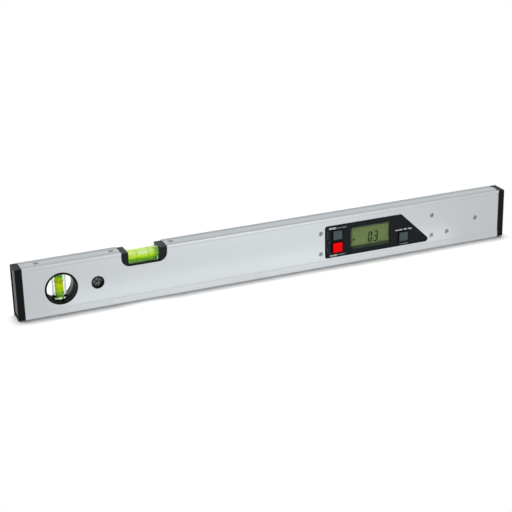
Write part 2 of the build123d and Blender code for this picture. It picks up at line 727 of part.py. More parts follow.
# Display housing: panel in the wall, flange behind it, and a tray for the board
with BuildPart() as display_housing:
    extrude(panel_sketch(PLATE_BACK, -PANEL_GAP), amount=FACE - PLATE_BACK)
    extrude(panel_sketch(PANEL_FIELD, -PANEL_RIM), amount=CUT_PAST, mode=Mode.SUBTRACT)
    extrude(
        plate_sketch(PLATE_BACK, FLANGE_LEFT, FLANGE_RIGHT, FLANGE_LOW, FLANGE_TOP, FLANGE_R),
        amount=FLANGE_FRONT - PLATE_BACK,
    )
    extrude(
        plate_sketch(TRAY_BACK, TRAY_LEFT, TRAY_RIGHT, TRAY_LOW, TRAY_TOP, BOARD_R),
        amount=PLATE_BACK - TRAY_BACK,
    )
    block(
        TRAY_LEFT + TRAY_WALL,
        TRAY_RIGHT - TRAY_WALL,
        PLATE_BACK,
        TRAY_BACK - CUT_PAST,
        TRAY_LOW + TRAY_WALL,
        TRAY_TOP - TRAY_WALL,
        mode=Mode.SUBTRACT,
    )
    with Locations(*front_spots(MODULE_SCREWS, MODULE_BOSS_BACK)):
        Cylinder(MODULE_BOSS_R, PLATE_BACK - MODULE_BOSS_BACK, align=BOTTOM)
    with Locations(*front_spots(POSTS, BOARD_FRONT + PART_GAP)):
        Cylinder(POST_R, PLATE_BACK - BOARD_FRONT - PART_GAP, align=BOTTOM)
    with Locations(*rear_spots(POSTS, BOARD_FRONT)):
        Cylinder(BOARD_SCREW_R + SCREW_GAP, BOARD_SCREW_LENGTH, align=UNDER, mode=Mode.SUBTRACT)
    cut_screw_holes(front_spots(MODULE_SCREWS), MODULE_SCREW_LENGTH + SCREW_ROOM)
    cradle_left = WINDOW_LEFT - GLASS_LEDGE - CRADLE_GAP
    cradle_right = WINDOW_RIGHT + GLASS_LEDGE + CRADLE_GAP
    cradle_low = WINDOW_LOW - GLASS_LEDGE_Z - CRADLE_GAP
    cradle_top = WINDOW_TOP + GLASS_LEDGE_Z + CRADLE_GAP
    with BuildSketch(Plane.XZ.offset(REFLECTOR_BACK)):
        with Locations(((cradle_left + cradle_right) / 2, (cradle_low + cradle_top) / 2)):
            Rectangle(cradle_right - cradle_left + 2 * CRADLE_WALL, cradle_top - cradle_low + 2 * CRADLE_WALL)
            Rectangle(cradle_right - cradle_left, cradle_top - cradle_low, mode=Mode.SUBTRACT)
    extrude(amount=PLATE_BACK - REFLECTOR_BACK)
    opening = plate_sketch(LENS_FRONT, WINDOW_LEFT, WINDOW_RIGHT, WINDOW_LOW, WINDOW_TOP, WINDOW_CORNER_R)
    extrude(opening, amount=FACE - LENS_FRONT, taper=-BEVEL_ANGLE, mode=Mode.SUBTRACT)
    block(
        WINDOW_LEFT - LENS_LEDGE,
        WINDOW_RIGHT + LENS_LEDGE,
        LENS_FRONT,
        PLATE_BACK - PART_GAP,
        WINDOW_LOW - LENS_LEDGE,
        WINDOW_TOP + LENS_LEDGE,
        mode=Mode.SUBTRACT,
    )
    for x, z, size in KEYS.values():
        hole = size + 2 * KEY_GAP
        extrude(
            square_sketch(PLATE_BACK - PART_GAP, x, z, hole, KEY_CORNER_R + KEY_GAP),
            amount=HALF_THICKNESS - PLATE_BACK,
            mode=Mode.SUBTRACT,
        )
        extrude(
            square_sketch(PANEL_FIELD - KEY_WELL_DEPTH, x, z, hole, KEY_CORNER_R + KEY_GAP),
            amount=KEY_WELL_DEPTH + PANEL_GAP,
            taper=-BEVEL_ANGLE,
            mode=Mode.SUBTRACT,
        )
    for pad_z in (BOX_Z - WIRE_BOARD_Z, BOX_Z + WIRE_BOARD_Z):
        block(
            TRAY_RIGHT - 2 * TRAY_WALL,
            TRAY_RIGHT + TRAY_WALL,
            BOARD_BACK,
            TRAY_BACK - CUT_PAST,
            pad_z - WIRE_NOTCH,
            pad_z + WIRE_NOTCH,
            mode=Mode.SUBTRACT,
        )
write(display_housing, "display_housing")

with BuildPart() as display_rear_cover:
    extrude(
        plate_sketch(COVER_BACK, TRAY_LEFT, TRAY_RIGHT, TRAY_LOW, TRAY_TOP, BOARD_R),
        amount=TRAY_BACK - COVER_BACK - PART_GAP,
    )
    lip_in = TRAY_WALL + SCREW_GAP
    for low in (TRAY_LOW + lip_in, TRAY_TOP - lip_in - COVER_LIP_WALL):
        block(
            TRAY_LEFT + 3 * TRAY_WALL,
            TRAY_RIGHT - 3 * TRAY_WALL,
            TRAY_BACK + COVER_LIP,
            TRAY_BACK - 2 * PART_GAP,
            low,
            low + COVER_LIP_WALL,
        )
write(display_rear_cover, "display_rear_cover")

# Clear window, gasket, display glass, reflector and its contact strip
with BuildPart() as display_window:
    block(
        WINDOW_LEFT - LENS_LEDGE + LENS_GAP,
        WINDOW_RIGHT + LENS_LEDGE - LENS_GAP,
        LENS_FRONT - PART_GAP,
        LENS_BACK,
        WINDOW_LOW - LENS_LEDGE + LENS_GAP,
        WINDOW_TOP + LENS_LEDGE - LENS_GAP,
    )
write(display_window, "display_window")

with BuildPart() as window_gasket:
    block(
        WINDOW_LEFT - LENS_LEDGE + LENS_GAP,
        WINDOW_RIGHT + LENS_LEDGE - LENS_GAP,
        LENS_BACK - PART_GAP,
        GASKET_BACK,
        WINDOW_LOW - LENS_LEDGE + LENS_GAP,
        WINDOW_TOP + LENS_LEDGE - LENS_GAP,
    )
    block(
        WINDOW_LEFT - LENS_LEDGE + GASKET_SIDE,
        WINDOW_RIGHT + LENS_LEDGE - GASKET_SIDE,
        LENS_BACK,
        GASKET_BACK - CUT_PAST,
        WINDOW_LOW - LENS_LEDGE + GASKET_SIDE,
        WINDOW_TOP + LENS_LEDGE - GASKET_SIDE,
        mode=Mode.SUBTRACT,
    )
write(window_gasket, "window_gasket")

glass_left = WINDOW_LEFT - GLASS_LEDGE
glass_right = WINDOW_RIGHT + GLASS_LEDGE
glass_low = WINDOW_LOW - GLASS_LEDGE_Z
glass_top = WINDOW_TOP + GLASS_LEDGE_Z
with BuildPart() as lcd_glass:
    block(glass_left, glass_right, GLASS_FRONT, GLASS_BACK, glass_low, glass_top)
write(lcd_glass, "lcd_glass")

with BuildPart() as lcd_reflector:
    block(
        glass_left,
        glass_right,
        REFLECTOR_FRONT,
        REFLECTOR_BACK,
        glass_low,
        glass_top - ZEBRA_HEIGHT - 2 * CRADLE_GAP,
    )
write(lcd_reflector, "lcd_reflector")

with BuildPart() as zebra_strip:
    block(
        glass_left + 2 * CRADLE_GAP,
        glass_right - 2 * CRADLE_GAP,
        REFLECTOR_FRONT,
        BOARD_FRONT + PART_GAP,
        glass_top - ZEBRA_HEIGHT - CRADLE_GAP,
        glass_top - CRADLE_GAP,
    )
write(zebra_strip, "zebra_strip")

# Circuit board with its parts
with BuildPart() as main_board:
    extrude(
        plate_sketch(BOARD_BACK, BOARD_LEFT, BOARD_RIGHT, BOARD_LOW, BOARD_TOP, BOARD_R),
        amount=BOARD_FRONT - BOARD_BACK,
    )
    with Locations(*front_spots(POSTS, BOARD_FRONT)):
        Cylinder(BOARD_SCREW_R + SCREW_GAP, 2 * CUT_PAST, mode=Mode.SUBTRACT)
write(main_board, "main_board")

with BuildPart() as board_screws:
    with Locations(*rear_spots(POSTS, BOARD_BACK - PART_GAP)):
        Cylinder(BOARD_SCREW_HEAD_R, BOARD_SCREW_HEAD, align=BOTTOM)
        Cylinder(BOARD_SCREW_R, BOARD_SCREW_LENGTH, align=UNDER)
    with Locations(*rear_spots(POSTS, BOARD_BACK - PART_GAP - BOARD_SCREW_HEAD)):
        Box(CROSS_LONG, CROSS_WIDE, CROSS_DEEP, align=UNDER, mode=Mode.SUBTRACT)
        Box(CROSS_WIDE, CROSS_LONG, CROSS_DEEP, align=UNDER, mode=Mode.SUBTRACT)
write(board_screws, "board_screws")

with BuildPart() as microcontroller:
    with Locations(*rear_spots([CHIP_SPOT], BOARD_BACK - PART_GAP)):
        Box(CHIP_SIZE, CHIP_SIZE, CHIP_HEIGHT, align=BOTTOM)
    chamfer(microcontroller.faces().sort_by(Axis.Y)[-1].edges(), CHIP_EDGE)
write(microcontroller, "microcontroller")

with BuildPart() as tilt_sensor:
    with Locations(*rear_spots([SENSOR_SPOT], BOARD_BACK - PART_GAP)):
        Box(SENSOR_LENGTH, SENSOR_WIDTH, SENSOR_HEIGHT, align=BOTTOM)
    fillet(tilt_sensor.edges().filter_by(Axis.Y), SENSOR_R)
write(tilt_sensor, "tilt_sensor")

with BuildPart() as buzzer:
    with Locations(*rear_spots([BUZZER_SPOT], BOARD_BACK - PART_GAP)):
        Cylinder(BUZZER_R, BUZZER_HEIGHT, align=BOTTOM)
        Cylinder(BUZZER_HOLE_R, 3 * BUZZER_HEIGHT, mode=Mode.SUBTRACT)
write(buzzer, "buzzer")

with BuildPart() as tact_switches:
    for x, z, size in KEYS.values():
        extrude(
            square_sketch(BOARD_FRONT + PART_GAP, x, z, SWITCH_SIZE, SWITCH_R),
            amount=SWITCH_TOP - BOARD_FRONT - PART_GAP,
        )
    with Locations(*front_spots([(x, z) for x, z, size in KEYS.values()], SWITCH_TOP)):
        Cylinder(SWITCH_WELL_R, SWITCH_TOP - SWITCH_WELL_BACK, align=UNDER, mode=Mode.SUBTRACT)
write(tact_switches, "tact_switches")

# Keys and the switch plungers that they push
for name, (x, z, size) in KEYS.items():
    with BuildPart() as key:
        extrude(
            square_sketch(KEY_FLANGE_FRONT, x, z, size, KEY_CORNER_R),
            amount=KEY_TOP - KEY_FLANGE_FRONT,
        )
        fillet(key.faces().sort_by(Axis.Y)[0].edges(), KEY_EDGE_R)
        extrude(
            square_sketch(KEY_FLANGE_BACK, x, z, size + 2 * KEY_FLANGE_SIDE, KEY_CORNER_R),
            amount=KEY_FLANGE_FRONT - KEY_FLANGE_BACK,
        )
        with Locations(*front_spots([(x, z)], KEY_STEM_BACK)):
            Cylinder(KEY_STEM_R, KEY_FLANGE_BACK - KEY_STEM_BACK, align=BOTTOM)
        with Locations((x, -KEY_TOP - KEY_DISH_R + KEY_DISH_DEPTH, z)):
            Sphere(KEY_DISH_R, mode=Mode.SUBTRACT)
    write(key, f"{name}_button")

    with BuildPart() as plunger:
        with Locations(*front_spots([(x, z)], KEY_STEM_BACK - PART_GAP)):
            Cylinder(PLUNGER_R, KEY_STEM_BACK - PLUNGER_BACK, align=UNDER)
    write(plunger, f"{name}_plunger")

with BuildPart() as module_screws:
    add_screws(front_spots(MODULE_SCREWS), MODULE_SCREW_LENGTH)
write(module_screws, "module_screws")

# Battery box, dropped in from the rear and screwed from the front
bay_left = BOX_X - BAY_LENGTH / 2
bay_right = BOX_X + BAY_LENGTH / 2
bay_low = BOX_Z - BAY_HEIGHT / 2
bay_top = BOX_Z + BAY_HEIGHT / 2
hinge_x = bay_left + DOOR_GAP + DOOR_THICK / 2
hinge_y = FACE - DOOR_THICK / 2
cell_heights = {"upper": BOX_Z + CELL_SPREAD, "lower": BOX_Z - CELL_SPREAD}
with BuildPart() as battery_box:
    with BuildSketch(Plane.XZ.offset(-FACE)):
        with Locations((BOX_X, BOX_Z)):
            RectangleRounded(BOX_LENGTH, BOX_HEIGHT, BOX_R - BOX_GAP)
    extrude(amount=FACE + BOX_FRONT)
    block(bay_left, bay_right, BAY_FRONT, -FACE - CUT_PAST, bay_low, bay_top, mode=Mode.SUBTRACT)
    block(
        bay_left,
        bay_right,
        BOX_FRONT + CUT_PAST,
        BAY_FRONT + BAY_FLOOR,
        bay_low,
        bay_top,
        mode=Mode.SUBTRACT,
    )
    with Locations(*front_spots(BOX_SCREWS, BOX_FRONT)):
        Cylinder(BOX_BOSS_R, BOX_FRONT - BAY_FRONT - BAY_FLOOR, align=UNDER)
    cut_screw_holes(front_spots(BOX_SCREWS), BOX_SCREW_LENGTH + SCREW_ROOM)
    stop_front = -CAVITY + DOOR_STOP_GAP + DOOR_STOP_DEPTH
    block(
        bay_right - DOOR_STOP,
        bay_right,
        stop_front,
        stop_front - DOOR_STOP_DEPTH,
        BOX_Z - DOOR_STOP_WIDTH / 2,
        BOX_Z + DOOR_STOP_WIDTH / 2,
    )
    with Locations((hinge_x, hinge_y, BOX_Z)):
        Cylinder(DOOR_PIN_HOLE_R, BAY_HEIGHT + 2 * DOOR_PIN_SEAT + PART_GAP, mode=Mode.SUBTRACT)
    with Locations(*[(bay_left, CELL_Y, height) for height in cell_heights.values()]):
        Cylinder(WIRE_HOLE_R, BAY_LENGTH / 4, rotation=(0, 90, 0), mode=Mode.SUBTRACT)
write(battery_box, "battery_box")

with BuildPart() as battery_door_pin:
    with Locations((hinge_x, hinge_y, BOX_Z)):
        Cylinder(DOOR_PIN_R, BAY_HEIGHT + 2 * DOOR_PIN_SEAT)
write(battery_door_pin, "battery_door_pin")

with BuildPart() as battery_door:
    door_low = bay_low + DOOR_GAP
    door_top = bay_top - DOOR_GAP
    with BuildSketch(Plane.XY.offset(door_low)):
        with Locations((hinge_x, hinge_y)):
            Circle(DOOR_THICK / 2)
        with Locations(((hinge_x + bay_right - DOOR_GAP) / 2, hinge_y)):
            Rectangle(bay_right - DOOR_GAP - hinge_x, DOOR_THICK)
    extrude(amount=door_top - door_low)
    with Locations((hinge_x, hinge_y, BOX_Z)):
        Cylinder(DOOR_PIN_R + DOOR_PIN_GAP, BAY_HEIGHT, mode=Mode.SUBTRACT)
    with Locations((bay_right - SCOOP_FROM_END, FACE + SCOOP_R - SCOOP_DEPTH, BOX_Z)):
        Cylinder(SCOOP_R, SCOOP_WIDTH, mode=Mode.SUBTRACT)
write(battery_door, "battery_door")

for name, sign in (("upper", -1), ("lower", 1)):
    with BuildPart() as cell:
        add_cell(cell_heights[name], sign)
        outer = cell.edges().filter_by(GeomType.CIRCLE).group_by(SortBy.RADIUS)[-1]
        fillet(outer, CELL_EDGE_R)
    write(cell, f"battery_{name}")

# Bent leaf contacts: one for each cell at the left end, and a bridge at the right end
contact_left = bay_left + CONTACT_GAP
contact_right = bay_right - CONTACT_GAP
cell_left = BOX_X - CELL_LENGTH / 2
cell_right = BOX_X + CELL_LENGTH / 2
with BuildPart() as battery_terminals:
    for height in cell_heights.values():
        leaf = leaf_sketch(height - CONTACT_WIDTH / 2, contact_left, cell_left - CONTACT_GAP)
        extrude(leaf, amount=CONTACT_WIDTH)
write(battery_terminals, "battery_terminals")

with BuildPart() as battery_bridge:
    leaf = leaf_sketch(BOX_Z - BRIDGE_WIDTH / 2, contact_right, cell_right + CONTACT_GAP)
    extrude(leaf, amount=BRIDGE_WIDTH)
write(battery_bridge, "battery_bridge")

with BuildPart() as battery_box_screws:
    add_screws(front_spots(BOX_SCREWS), BOX_SCREW_LENGTH)
write(battery_box_screws, "battery_box_screws")

for name, height in (("red_wire", cell_heights["upper"]), ("black_wire", cell_heights["lower"])):
    path = wire_path(height)
    with BuildPart() as wire:
        with BuildSketch(Plane(origin=path @ 0, z_dir=path % 0)):
            Circle(WIRE_R)
        sweep(path=path)
    write(wire, name)
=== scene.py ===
import json
import math

import bmesh
import bpy
from mathutils import Matrix, Vector


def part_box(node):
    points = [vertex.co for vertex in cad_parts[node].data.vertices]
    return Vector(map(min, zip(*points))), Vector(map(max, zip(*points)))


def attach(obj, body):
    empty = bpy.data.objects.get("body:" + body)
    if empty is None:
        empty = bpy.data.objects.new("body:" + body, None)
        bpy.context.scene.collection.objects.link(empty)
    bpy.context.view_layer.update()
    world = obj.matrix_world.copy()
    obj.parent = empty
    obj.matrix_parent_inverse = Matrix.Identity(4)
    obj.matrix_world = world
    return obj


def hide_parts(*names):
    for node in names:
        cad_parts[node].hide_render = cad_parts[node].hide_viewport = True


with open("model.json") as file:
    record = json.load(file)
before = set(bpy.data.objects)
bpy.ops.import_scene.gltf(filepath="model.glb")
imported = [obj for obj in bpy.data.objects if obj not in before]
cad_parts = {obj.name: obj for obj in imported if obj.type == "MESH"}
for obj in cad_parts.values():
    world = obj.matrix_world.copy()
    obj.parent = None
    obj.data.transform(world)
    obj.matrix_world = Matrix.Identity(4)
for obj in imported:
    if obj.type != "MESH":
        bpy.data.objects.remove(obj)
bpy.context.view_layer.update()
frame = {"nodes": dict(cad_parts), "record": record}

# Sizes and places are in millimetres, in the part's frame, and MM turns them into metres
MM = 0.001
NODES = frame["nodes"]
SUBPARTS = frame["record"]["subparts"]
scene = bpy.context.scene


def node_box(name):
    """Lowest and highest corner of a CAD node."""
    low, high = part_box(name)
    return Vector(low) / MM, Vector(high) / MM


def node_middle(name):
    """Middle of a CAD node's box."""
    low, high = node_box(name)
    return (low + high) / 2


# Places of the CAD nodes. Depths are counted from the middle of the section towards the front

PLUMB = node_middle("plumb_vial_body")
TOP_VIAL = node_middle("top_vial_body")
PLUG = node_middle("front_hole_plug")
PLUMB_VIAL_R = node_box("plumb_vial_body")[1].x - PLUMB.x
TOP_VIAL_R = node_box("top_vial_body")[1].y - TOP_VIAL.y
FACE = -node_box("plumb_ring_front")[0].y
LCD_FRONT = -node_box("lcd_glass")[0].y
# The panel lies a little behind the face, and the pane of its window reaches under it on each side
PANEL_SUNK = 0.5
PANEL_FIELD = FACE - PANEL_SUNK
WINDOW_LEDGE = 1.92
WINDOW_LOW, WINDOW_HIGH = node_box("display_window")
WINDOW_LEFT, WINDOW_RIGHT = WINDOW_LOW.x + WINDOW_LEDGE, WINDOW_HIGH.x - WINDOW_LEDGE
WINDOW_BOTTOM, WINDOW_TOP = WINDOW_LOW.z + WINDOW_LEDGE, WINDOW_HIGH.z - WINDOW_LEDGE
# Half widths of the keys' faces
KEY_HALF = {"hold": 6.0, "power": 6.5, "unit": 6.0}


# Materials

# Kinds of noise: features per metre along X, Y and Z or along all three, detail and roughness
NOISE = {
    "draw_lines": ((2.0, 1400.0, 1400.0), 4.0, 0.6),
    "metal_cloud": ((14.0, 30.0, 30.0), 2.0, 0.55),
    "metal_grain": (3800.0, 2.0, 0.55),
    "cloud": (60.0, 3.0, 0.55),
    "mould_grain": (1.0 / (0.35 * MM), 2.0, 0.55),
    "key_grain": (5000.0, 2.0, 0.55),
    "turning_marks": (2600.0, 3.0, 0.55),
    "steel_cloud": (500.0, 2.0, 0.55),
    "polish_marks": (900.0, 3.0, 0.55),
    "clear_cloud": (200.0, 2.0, 0.55),
    "foot_marks": ((500.0, 500.0, 120.0), 2.0, 0.55),
    "liquid_cloud": (160.0, 2.0, 0.55),
    "air_cloud": (300.0, 2.0, 0.55),
    "wall_grain": (2800.0, 2.0, 0.55),
    "scuffs": (420.0, 3.0, 0.6),
    "plug_grain": (2200.0, 2.0, 0.55),
    "display_grain": (3000.0, 2.0, 0.55),
    "display_cloud": (30.0, 2.0, 0.55),
    "tracks": ((500.0, 500.0, 140.0), 1.0, 0.55),
    "board_cloud": (40.0, 2.0, 0.55),
}


class Look:
    """A Principled material with a few short cuts for its nodes."""

    def __init__(self, name, **values):
        self.material = bpy.data.materials.new(name)
        self.material.use_nodes = True
        self.tree = self.material.node_tree
        self.shader = self.tree.nodes["Principled BSDF"]
        self.output = self.tree.nodes["Material Output"]
        for socket, value in values.items():
            self.shader.inputs[socket.replace("_", " ")].default_value = value

    def node(self, kind, values=None, **settings):
        made = self.tree.nodes.new(kind)
        for key, value in settings.items():
            setattr(made, key, value)
        for key, value in (values or {}).items():
            made.inputs[key].default_value = value
        return made

    def link(self, start, end):
        self.tree.links.new(start, end)

    def coords(self, scale):
        """Object coordinates, in metres in the part's frame, stretched by scale."""
        place = self.node("ShaderNodeTexCoord")
        mapping = self.node("ShaderNodeMapping", {"Scale": scale})
        self.link(place.outputs["Object"], mapping.inputs["Vector"])
        return mapping.outputs["Vector"]

    def along(self, axis):
        """One object coordinate, in millimetres."""
        split = self.node("ShaderNodeSeparateXYZ")
        self.link(self.coords((1 / MM, 1 / MM, 1 / MM)), split.inputs[0])
        return split.outputs[axis]

    def noise(self, kind):
        """Noise of one of the listed kinds, mostly between 0.3 and 0.7."""
        scale, detail, rough = NOISE[kind]
        if isinstance(scale, float):
            scale = (scale, scale, scale)
        made = self.node("ShaderNodeTexNoise", {"Scale": 1.0, "Detail": detail, "Roughness": rough})
        self.link(self.coords(scale), made.inputs["Vector"])
        return made.outputs["Fac"]

    def facing(self):
        """How far the surface turns away from the line of sight, for gloss and glass."""
        return self.node("ShaderNodeLayerWeight", {"Blend": 0.5}).outputs["Facing"]

    def span(self, value, low, high, start=0.3, end=0.7):
        """Value from start to end, spread over low to high."""
        made = self.node(
            "ShaderNodeMapRange",
            {"From Min": start, "From Max": end, "To Min": low, "To Max": high},
        )
        self.link(value, made.inputs["Value"])
        return made.outputs["Result"]

    def math(self, operation, first, second, clamp=False):
        """Result of a sum on two outputs or numbers."""
        made = self.node("ShaderNodeMath", operation=operation, use_clamp=clamp)
        for socket, value in zip(made.inputs, (first, second)):
            if isinstance(value, (int, float)):
                socket.default_value = value
            else:
                self.link(value, socket)
        return made.outputs[0]

    def blend(self, factor, first, second):
        """Colour between first and second by factor. Colours are tuples or outputs."""
        made = self.node("ShaderNodeMix", data_type="RGBA")
        sockets = [s for s in made.inputs if s.type == "RGBA"]
        self.link(factor, made.inputs[0])
        for socket, colour in zip(sockets, (first, second)):
            if isinstance(colour, tuple):
                socket.default_value = (*colour, 1.0)
            else:
                self.link(colour, socket)
        return [s for s in made.outputs if s.type == "RGBA"][0]

    def mottle(self, noise, first, second, share=1.0):
        """Colour that noise carries from first towards second, by no more than a share."""
        return self.blend(self.span(noise, 0.0, share), first, second)

    def ramp(self, value, stops):
        """Colour by value, through stops of (value, colour)."""
        first, last = stops[0][0], stops[-1][0]
        made = self.node("ShaderNodeValToRGB")
        self.link(self.span(value, 0.0, 1.0, first, last), made.inputs["Fac"])
        elements = made.color_ramp.elements
        while len(elements) < len(stops):
            elements.new(0.5)
        for element, (at, colour) in zip(elements, stops):
            element.position = (at - first) / (last - first)
            element.color = (*colour, 1.0)
        return made.outputs["Color"]

    def colour(self, output):
        self.link(output, self.shader.inputs["Base Color"])

    def rough(self, noise, low, high):
        self.link(self.span(noise, low, high), self.shader.inputs["Roughness"])

    def bump(self, height, depth, strength):
        """Bump by a height, with its depth in millimetres, on top of any bump before it."""
        made = self.node("ShaderNodeBump", {"Strength": strength, "Distance": depth * MM})
        self.link(height, made.inputs["Height"])
        previous = self.shader.inputs["Normal"].links
        if previous:
            self.link(previous[0].from_socket, made.inputs["Normal"])
        self.link(made.outputs["Normal"], self.shader.inputs["Normal"])


SILVER_DARK, SILVER_LIGHT = (0.500, 0.527, 0.547), (0.530, 0.555, 0.574)
# The second tone on the next line is painted shade for the top rail's grooves
SILVER_CLOUD, SILVER_GROOVE_SHADE = (0.515, 0.542, 0.560), (0.425, 0.450, 0.468)
# Sides of the top rail's grooves, from the middle of the section, and the height they lie above
GROOVE_IN, GROOVE_OUT, GROOVE_ABOVE = (4.6, 5.2), (8.6, 9.2), (58.9, 59.1)
# Painted shade of the front groove as a share of the rear one's, and the places it changes between
FRONT_GROOVE_SHADE, GROOVE_CHANGE = 0.45, (-1.0, 1.0)


def aluminium():
    """Satin anodised extrusion: draw lines along the length over a fine matt grain, with painted shade in
    the grooves.
    """
    look = Look("satin_aluminium", Metallic=1.0)
    lines = look.noise("draw_lines")
    tone = look.mottle(lines, SILVER_DARK, SILVER_LIGHT)
    tone = look.mottle(look.noise("metal_cloud"), tone, SILVER_CLOUD, 0.35)
    # Painted shade in the top rail's grooves, lighter in the front one
    depth = look.along("Y")
    across = look.math("ABSOLUTE", depth, 0.0)
    past_inside = look.span(across, 0.0, 1.0, *GROOVE_IN)
    before_outside = look.span(across, 1.0, 0.0, *GROOVE_OUT)
    groove_shade = look.math("MULTIPLY", past_inside, before_outside)
    groove_shade = look.math("MULTIPLY", groove_shade, look.span(look.along("Z"), 0.0, 1.0, *GROOVE_ABOVE))
    groove_shade = look.math("MULTIPLY", groove_shade, look.span(depth, FRONT_GROOVE_SHADE, 1.0, *GROOVE_CHANGE))
    look.colour(look.blend(groove_shade, tone, SILVER_GROOVE_SHADE))
    look.rough(lines, 0.40, 0.50)
    look.bump(lines, depth=0.04, strength=0.35)
    look.bump(look.noise("metal_grain"), depth=0.03, strength=0.35)
    return look.material


def moulded(name, dark, light, roughness, specular):
    """Moulded plastic or print with a fine grain and a little unevenness in tone and gloss."""
    look = Look(name, Specular_IOR_Level=specular)
    grain = look.noise("mould_grain")
    cloud = look.noise("cloud")
    look.colour(look.mottle(grain, look.mottle(cloud, dark, light), light, 0.3))
    look.rough(cloud, *roughness)
    look.bump(grain, depth=0.03, strength=0.5)
    return look.material


# Share of the width of a key's rim that is fully dark with painted shade
RIM_FULL_SHADE = 0.3


def soft_key(key_name, dark, light, rim_shade, rim_shade_widths, specular):
    """Soft-touch key with painted shade on its rounded rim, so the rim is darker than its face. Rim widths:
    left, right, below, above.
    """
    look = Look(f"{key_name}_key", Specular_IOR_Level=specular)
    cloud = look.noise("cloud")
    middle, half = node_middle(f"{key_name}_button"), KEY_HALF[key_name]
    left, right, below, above = rim_shade_widths
    face = 1.0
    for axis, centre, low, high in (("X", middle.x, left, right), ("Z", middle.z, below, above)):
        value = look.along(axis)
        rising = look.span(value, 0.0, 1.0, centre - half + low * RIM_FULL_SHADE, centre - half + low)
        falling = look.span(value, 1.0, 0.0, centre + half - high, centre + half - high * RIM_FULL_SHADE)
        face = look.math("MULTIPLY", face, look.math("MULTIPLY", rising, falling))
    # Painted shade on the key's rim, blended in outside the face mask
    look.colour(look.blend(face, rim_shade, look.mottle(cloud, dark, light)))
    look.rough(cloud, 0.5, 0.62)
    look.bump(look.noise("key_grain"), depth=0.015, strength=0.5)
    return look.material


def steel(name, dark, light, roughness):
    """Plated steel with fine turning marks."""
    look = Look(name, Metallic=1.0)
    marks = look.noise("turning_marks")
    look.colour(look.mottle(look.noise("steel_cloud"), dark, light))
    look.rough(marks, *roughness)
    look.bump(marks, depth=0.03, strength=0.4)
    return look.material


# How rough the polishing marks make a clear surface
POLISH = (0.0, 0.02)
# How much paler a clear material is in places
PALER = 1.03
# Facing between which a clear bar and an air pocket take their painted rim shade
GLASS_SHADE_FACING, POCKET_SHADE_FACING = (0.25, 0.55), (0.25, 0.60)


def clear(name, colour, ior, shine):
    """Clear material whose surface carries faint polishing marks."""
    look = Look(name, Transmission_Weight=1.0, IOR=ior, Specular_Tint=(*shine, 1.0))
    pale = tuple(min(1.0, c * PALER) for c in colour)
    look.colour(look.mottle(look.noise("clear_cloud"), colour, pale))
    look.rough(look.noise("polish_marks"), *POLISH)
    return look.material


def rim_shaded_glass(name, colour, rim_shade, ior, shine):
    """Clear round bar with painted shade towards its sides."""
    look = Look(name, Transmission_Weight=1.0, IOR=ior, Specular_Tint=(*shine, 1.0))
    look.colour(look.blend(look.span(look.facing(), 0.0, 1.0, *GLASS_SHADE_FACING), colour, rim_shade))
    look.rough(look.noise("polish_marks"), *POLISH)
    return look.material


# Tones of the foot's painted glints and of the dark gaps between them
FOOT_DARK, FOOT_BRIGHT, FOOT_WHITE = (0.08, 0.20, 0.07), (0.80, 1.0, 0.62), (0.92, 1.0, 0.90)
FOOT_MARK = (0.16, 0.32, 0.14)
# Places along the foot, from its middle, and the painted glint or dark gap there
FOOT_GLINT_TONES = [
    (-4.3, FOOT_WHITE), (-3.5, FOOT_WHITE), (-3.1, FOOT_DARK), (-2.1, FOOT_DARK), (-1.7, FOOT_BRIGHT),
    (1.4, FOOT_BRIGHT), (1.8, FOOT_DARK), (2.6, FOOT_DARK), (3.0, FOOT_WHITE), (4.3, FOOT_WHITE),
]


def vial_foot():
    """Cut foot of the plumb vial, with glints painted at its middle and near both ends."""
    look = Look("vial_foot", Metallic=1.0)
    marks = look.noise("foot_marks")
    tone = look.ramp(look.along("X"), [(PLUMB.x + at, colour) for at, colour in FOOT_GLINT_TONES])
    look.colour(look.mottle(marks, tone, FOOT_MARK, 0.25))
    look.rough(marks, 0.22, 0.36)
    return look.material


# Refractive indices: acrylic in air, liquid or air pocket in acrylic, stopper in acrylic, thin pane
ACRYLIC_IOR, LIQUID_IOR, STOPPER_IOR, PANE_IOR = 1.49, 0.913, 0.985, 1.1
LIQUID_CLOUD = (0.45, 0.85, 0.03)
# Places along the level vial where painted shade on its liquid starts and is deepest, and the tone there
STOPPER_SHADE_START, STOPPER_SHADE_END = TOP_VIAL.x + 10.5, TOP_VIAL.x + 17.5
STOPPER_SHADE_TONE, STOPPER_SHADE_SHARE = (0.08, 0.40, 0.05), 0.8


def liquid(name, vial, stops, transmission, ior=LIQUID_IOR, stopper_shade=False):
    """Dyed liquid, or what it tints, with painted light and shade. Its stops are heights above the vial's
    axis and the tones there.
    """
    look = Look(name, Transmission_Weight=transmission, IOR=ior, Roughness=0.0)
    # Painted light and shade by height, over the dye's colour
    tone = look.ramp(look.along("Z"), [(vial.z + up, colour) for up, colour in stops])
    tone = look.mottle(look.noise("liquid_cloud"), tone, LIQUID_CLOUD, 0.05)
    if stopper_shade:
        # Painted shade towards the stopper end of the level vial
        share = look.span(look.along("X"), 0.0, STOPPER_SHADE_SHARE, STOPPER_SHADE_START, STOPPER_SHADE_END)
        tone = look.blend(share, tone, STOPPER_SHADE_TONE)
    look.colour(tone)
    return look.material


def air_pocket(name, middle, rim_shade):
    """Air bubble in dyed liquid: pale in the middle, with painted shade where its surface turns away."""
    look = Look(name, Transmission_Weight=0.3, IOR=LIQUID_IOR, Roughness=0.05)
    tone = look.mottle(look.noise("air_cloud"), middle, rim_shade, 0.3)
    look.colour(look.blend(look.span(look.facing(), 0.0, 1.0, *POCKET_SHADE_FACING), tone, rim_shade))
    return look.material


WALL_DARK, WALL_LIGHT = (0.003, 0.004, 0.004), (0.006, 0.0075, 0.0075)
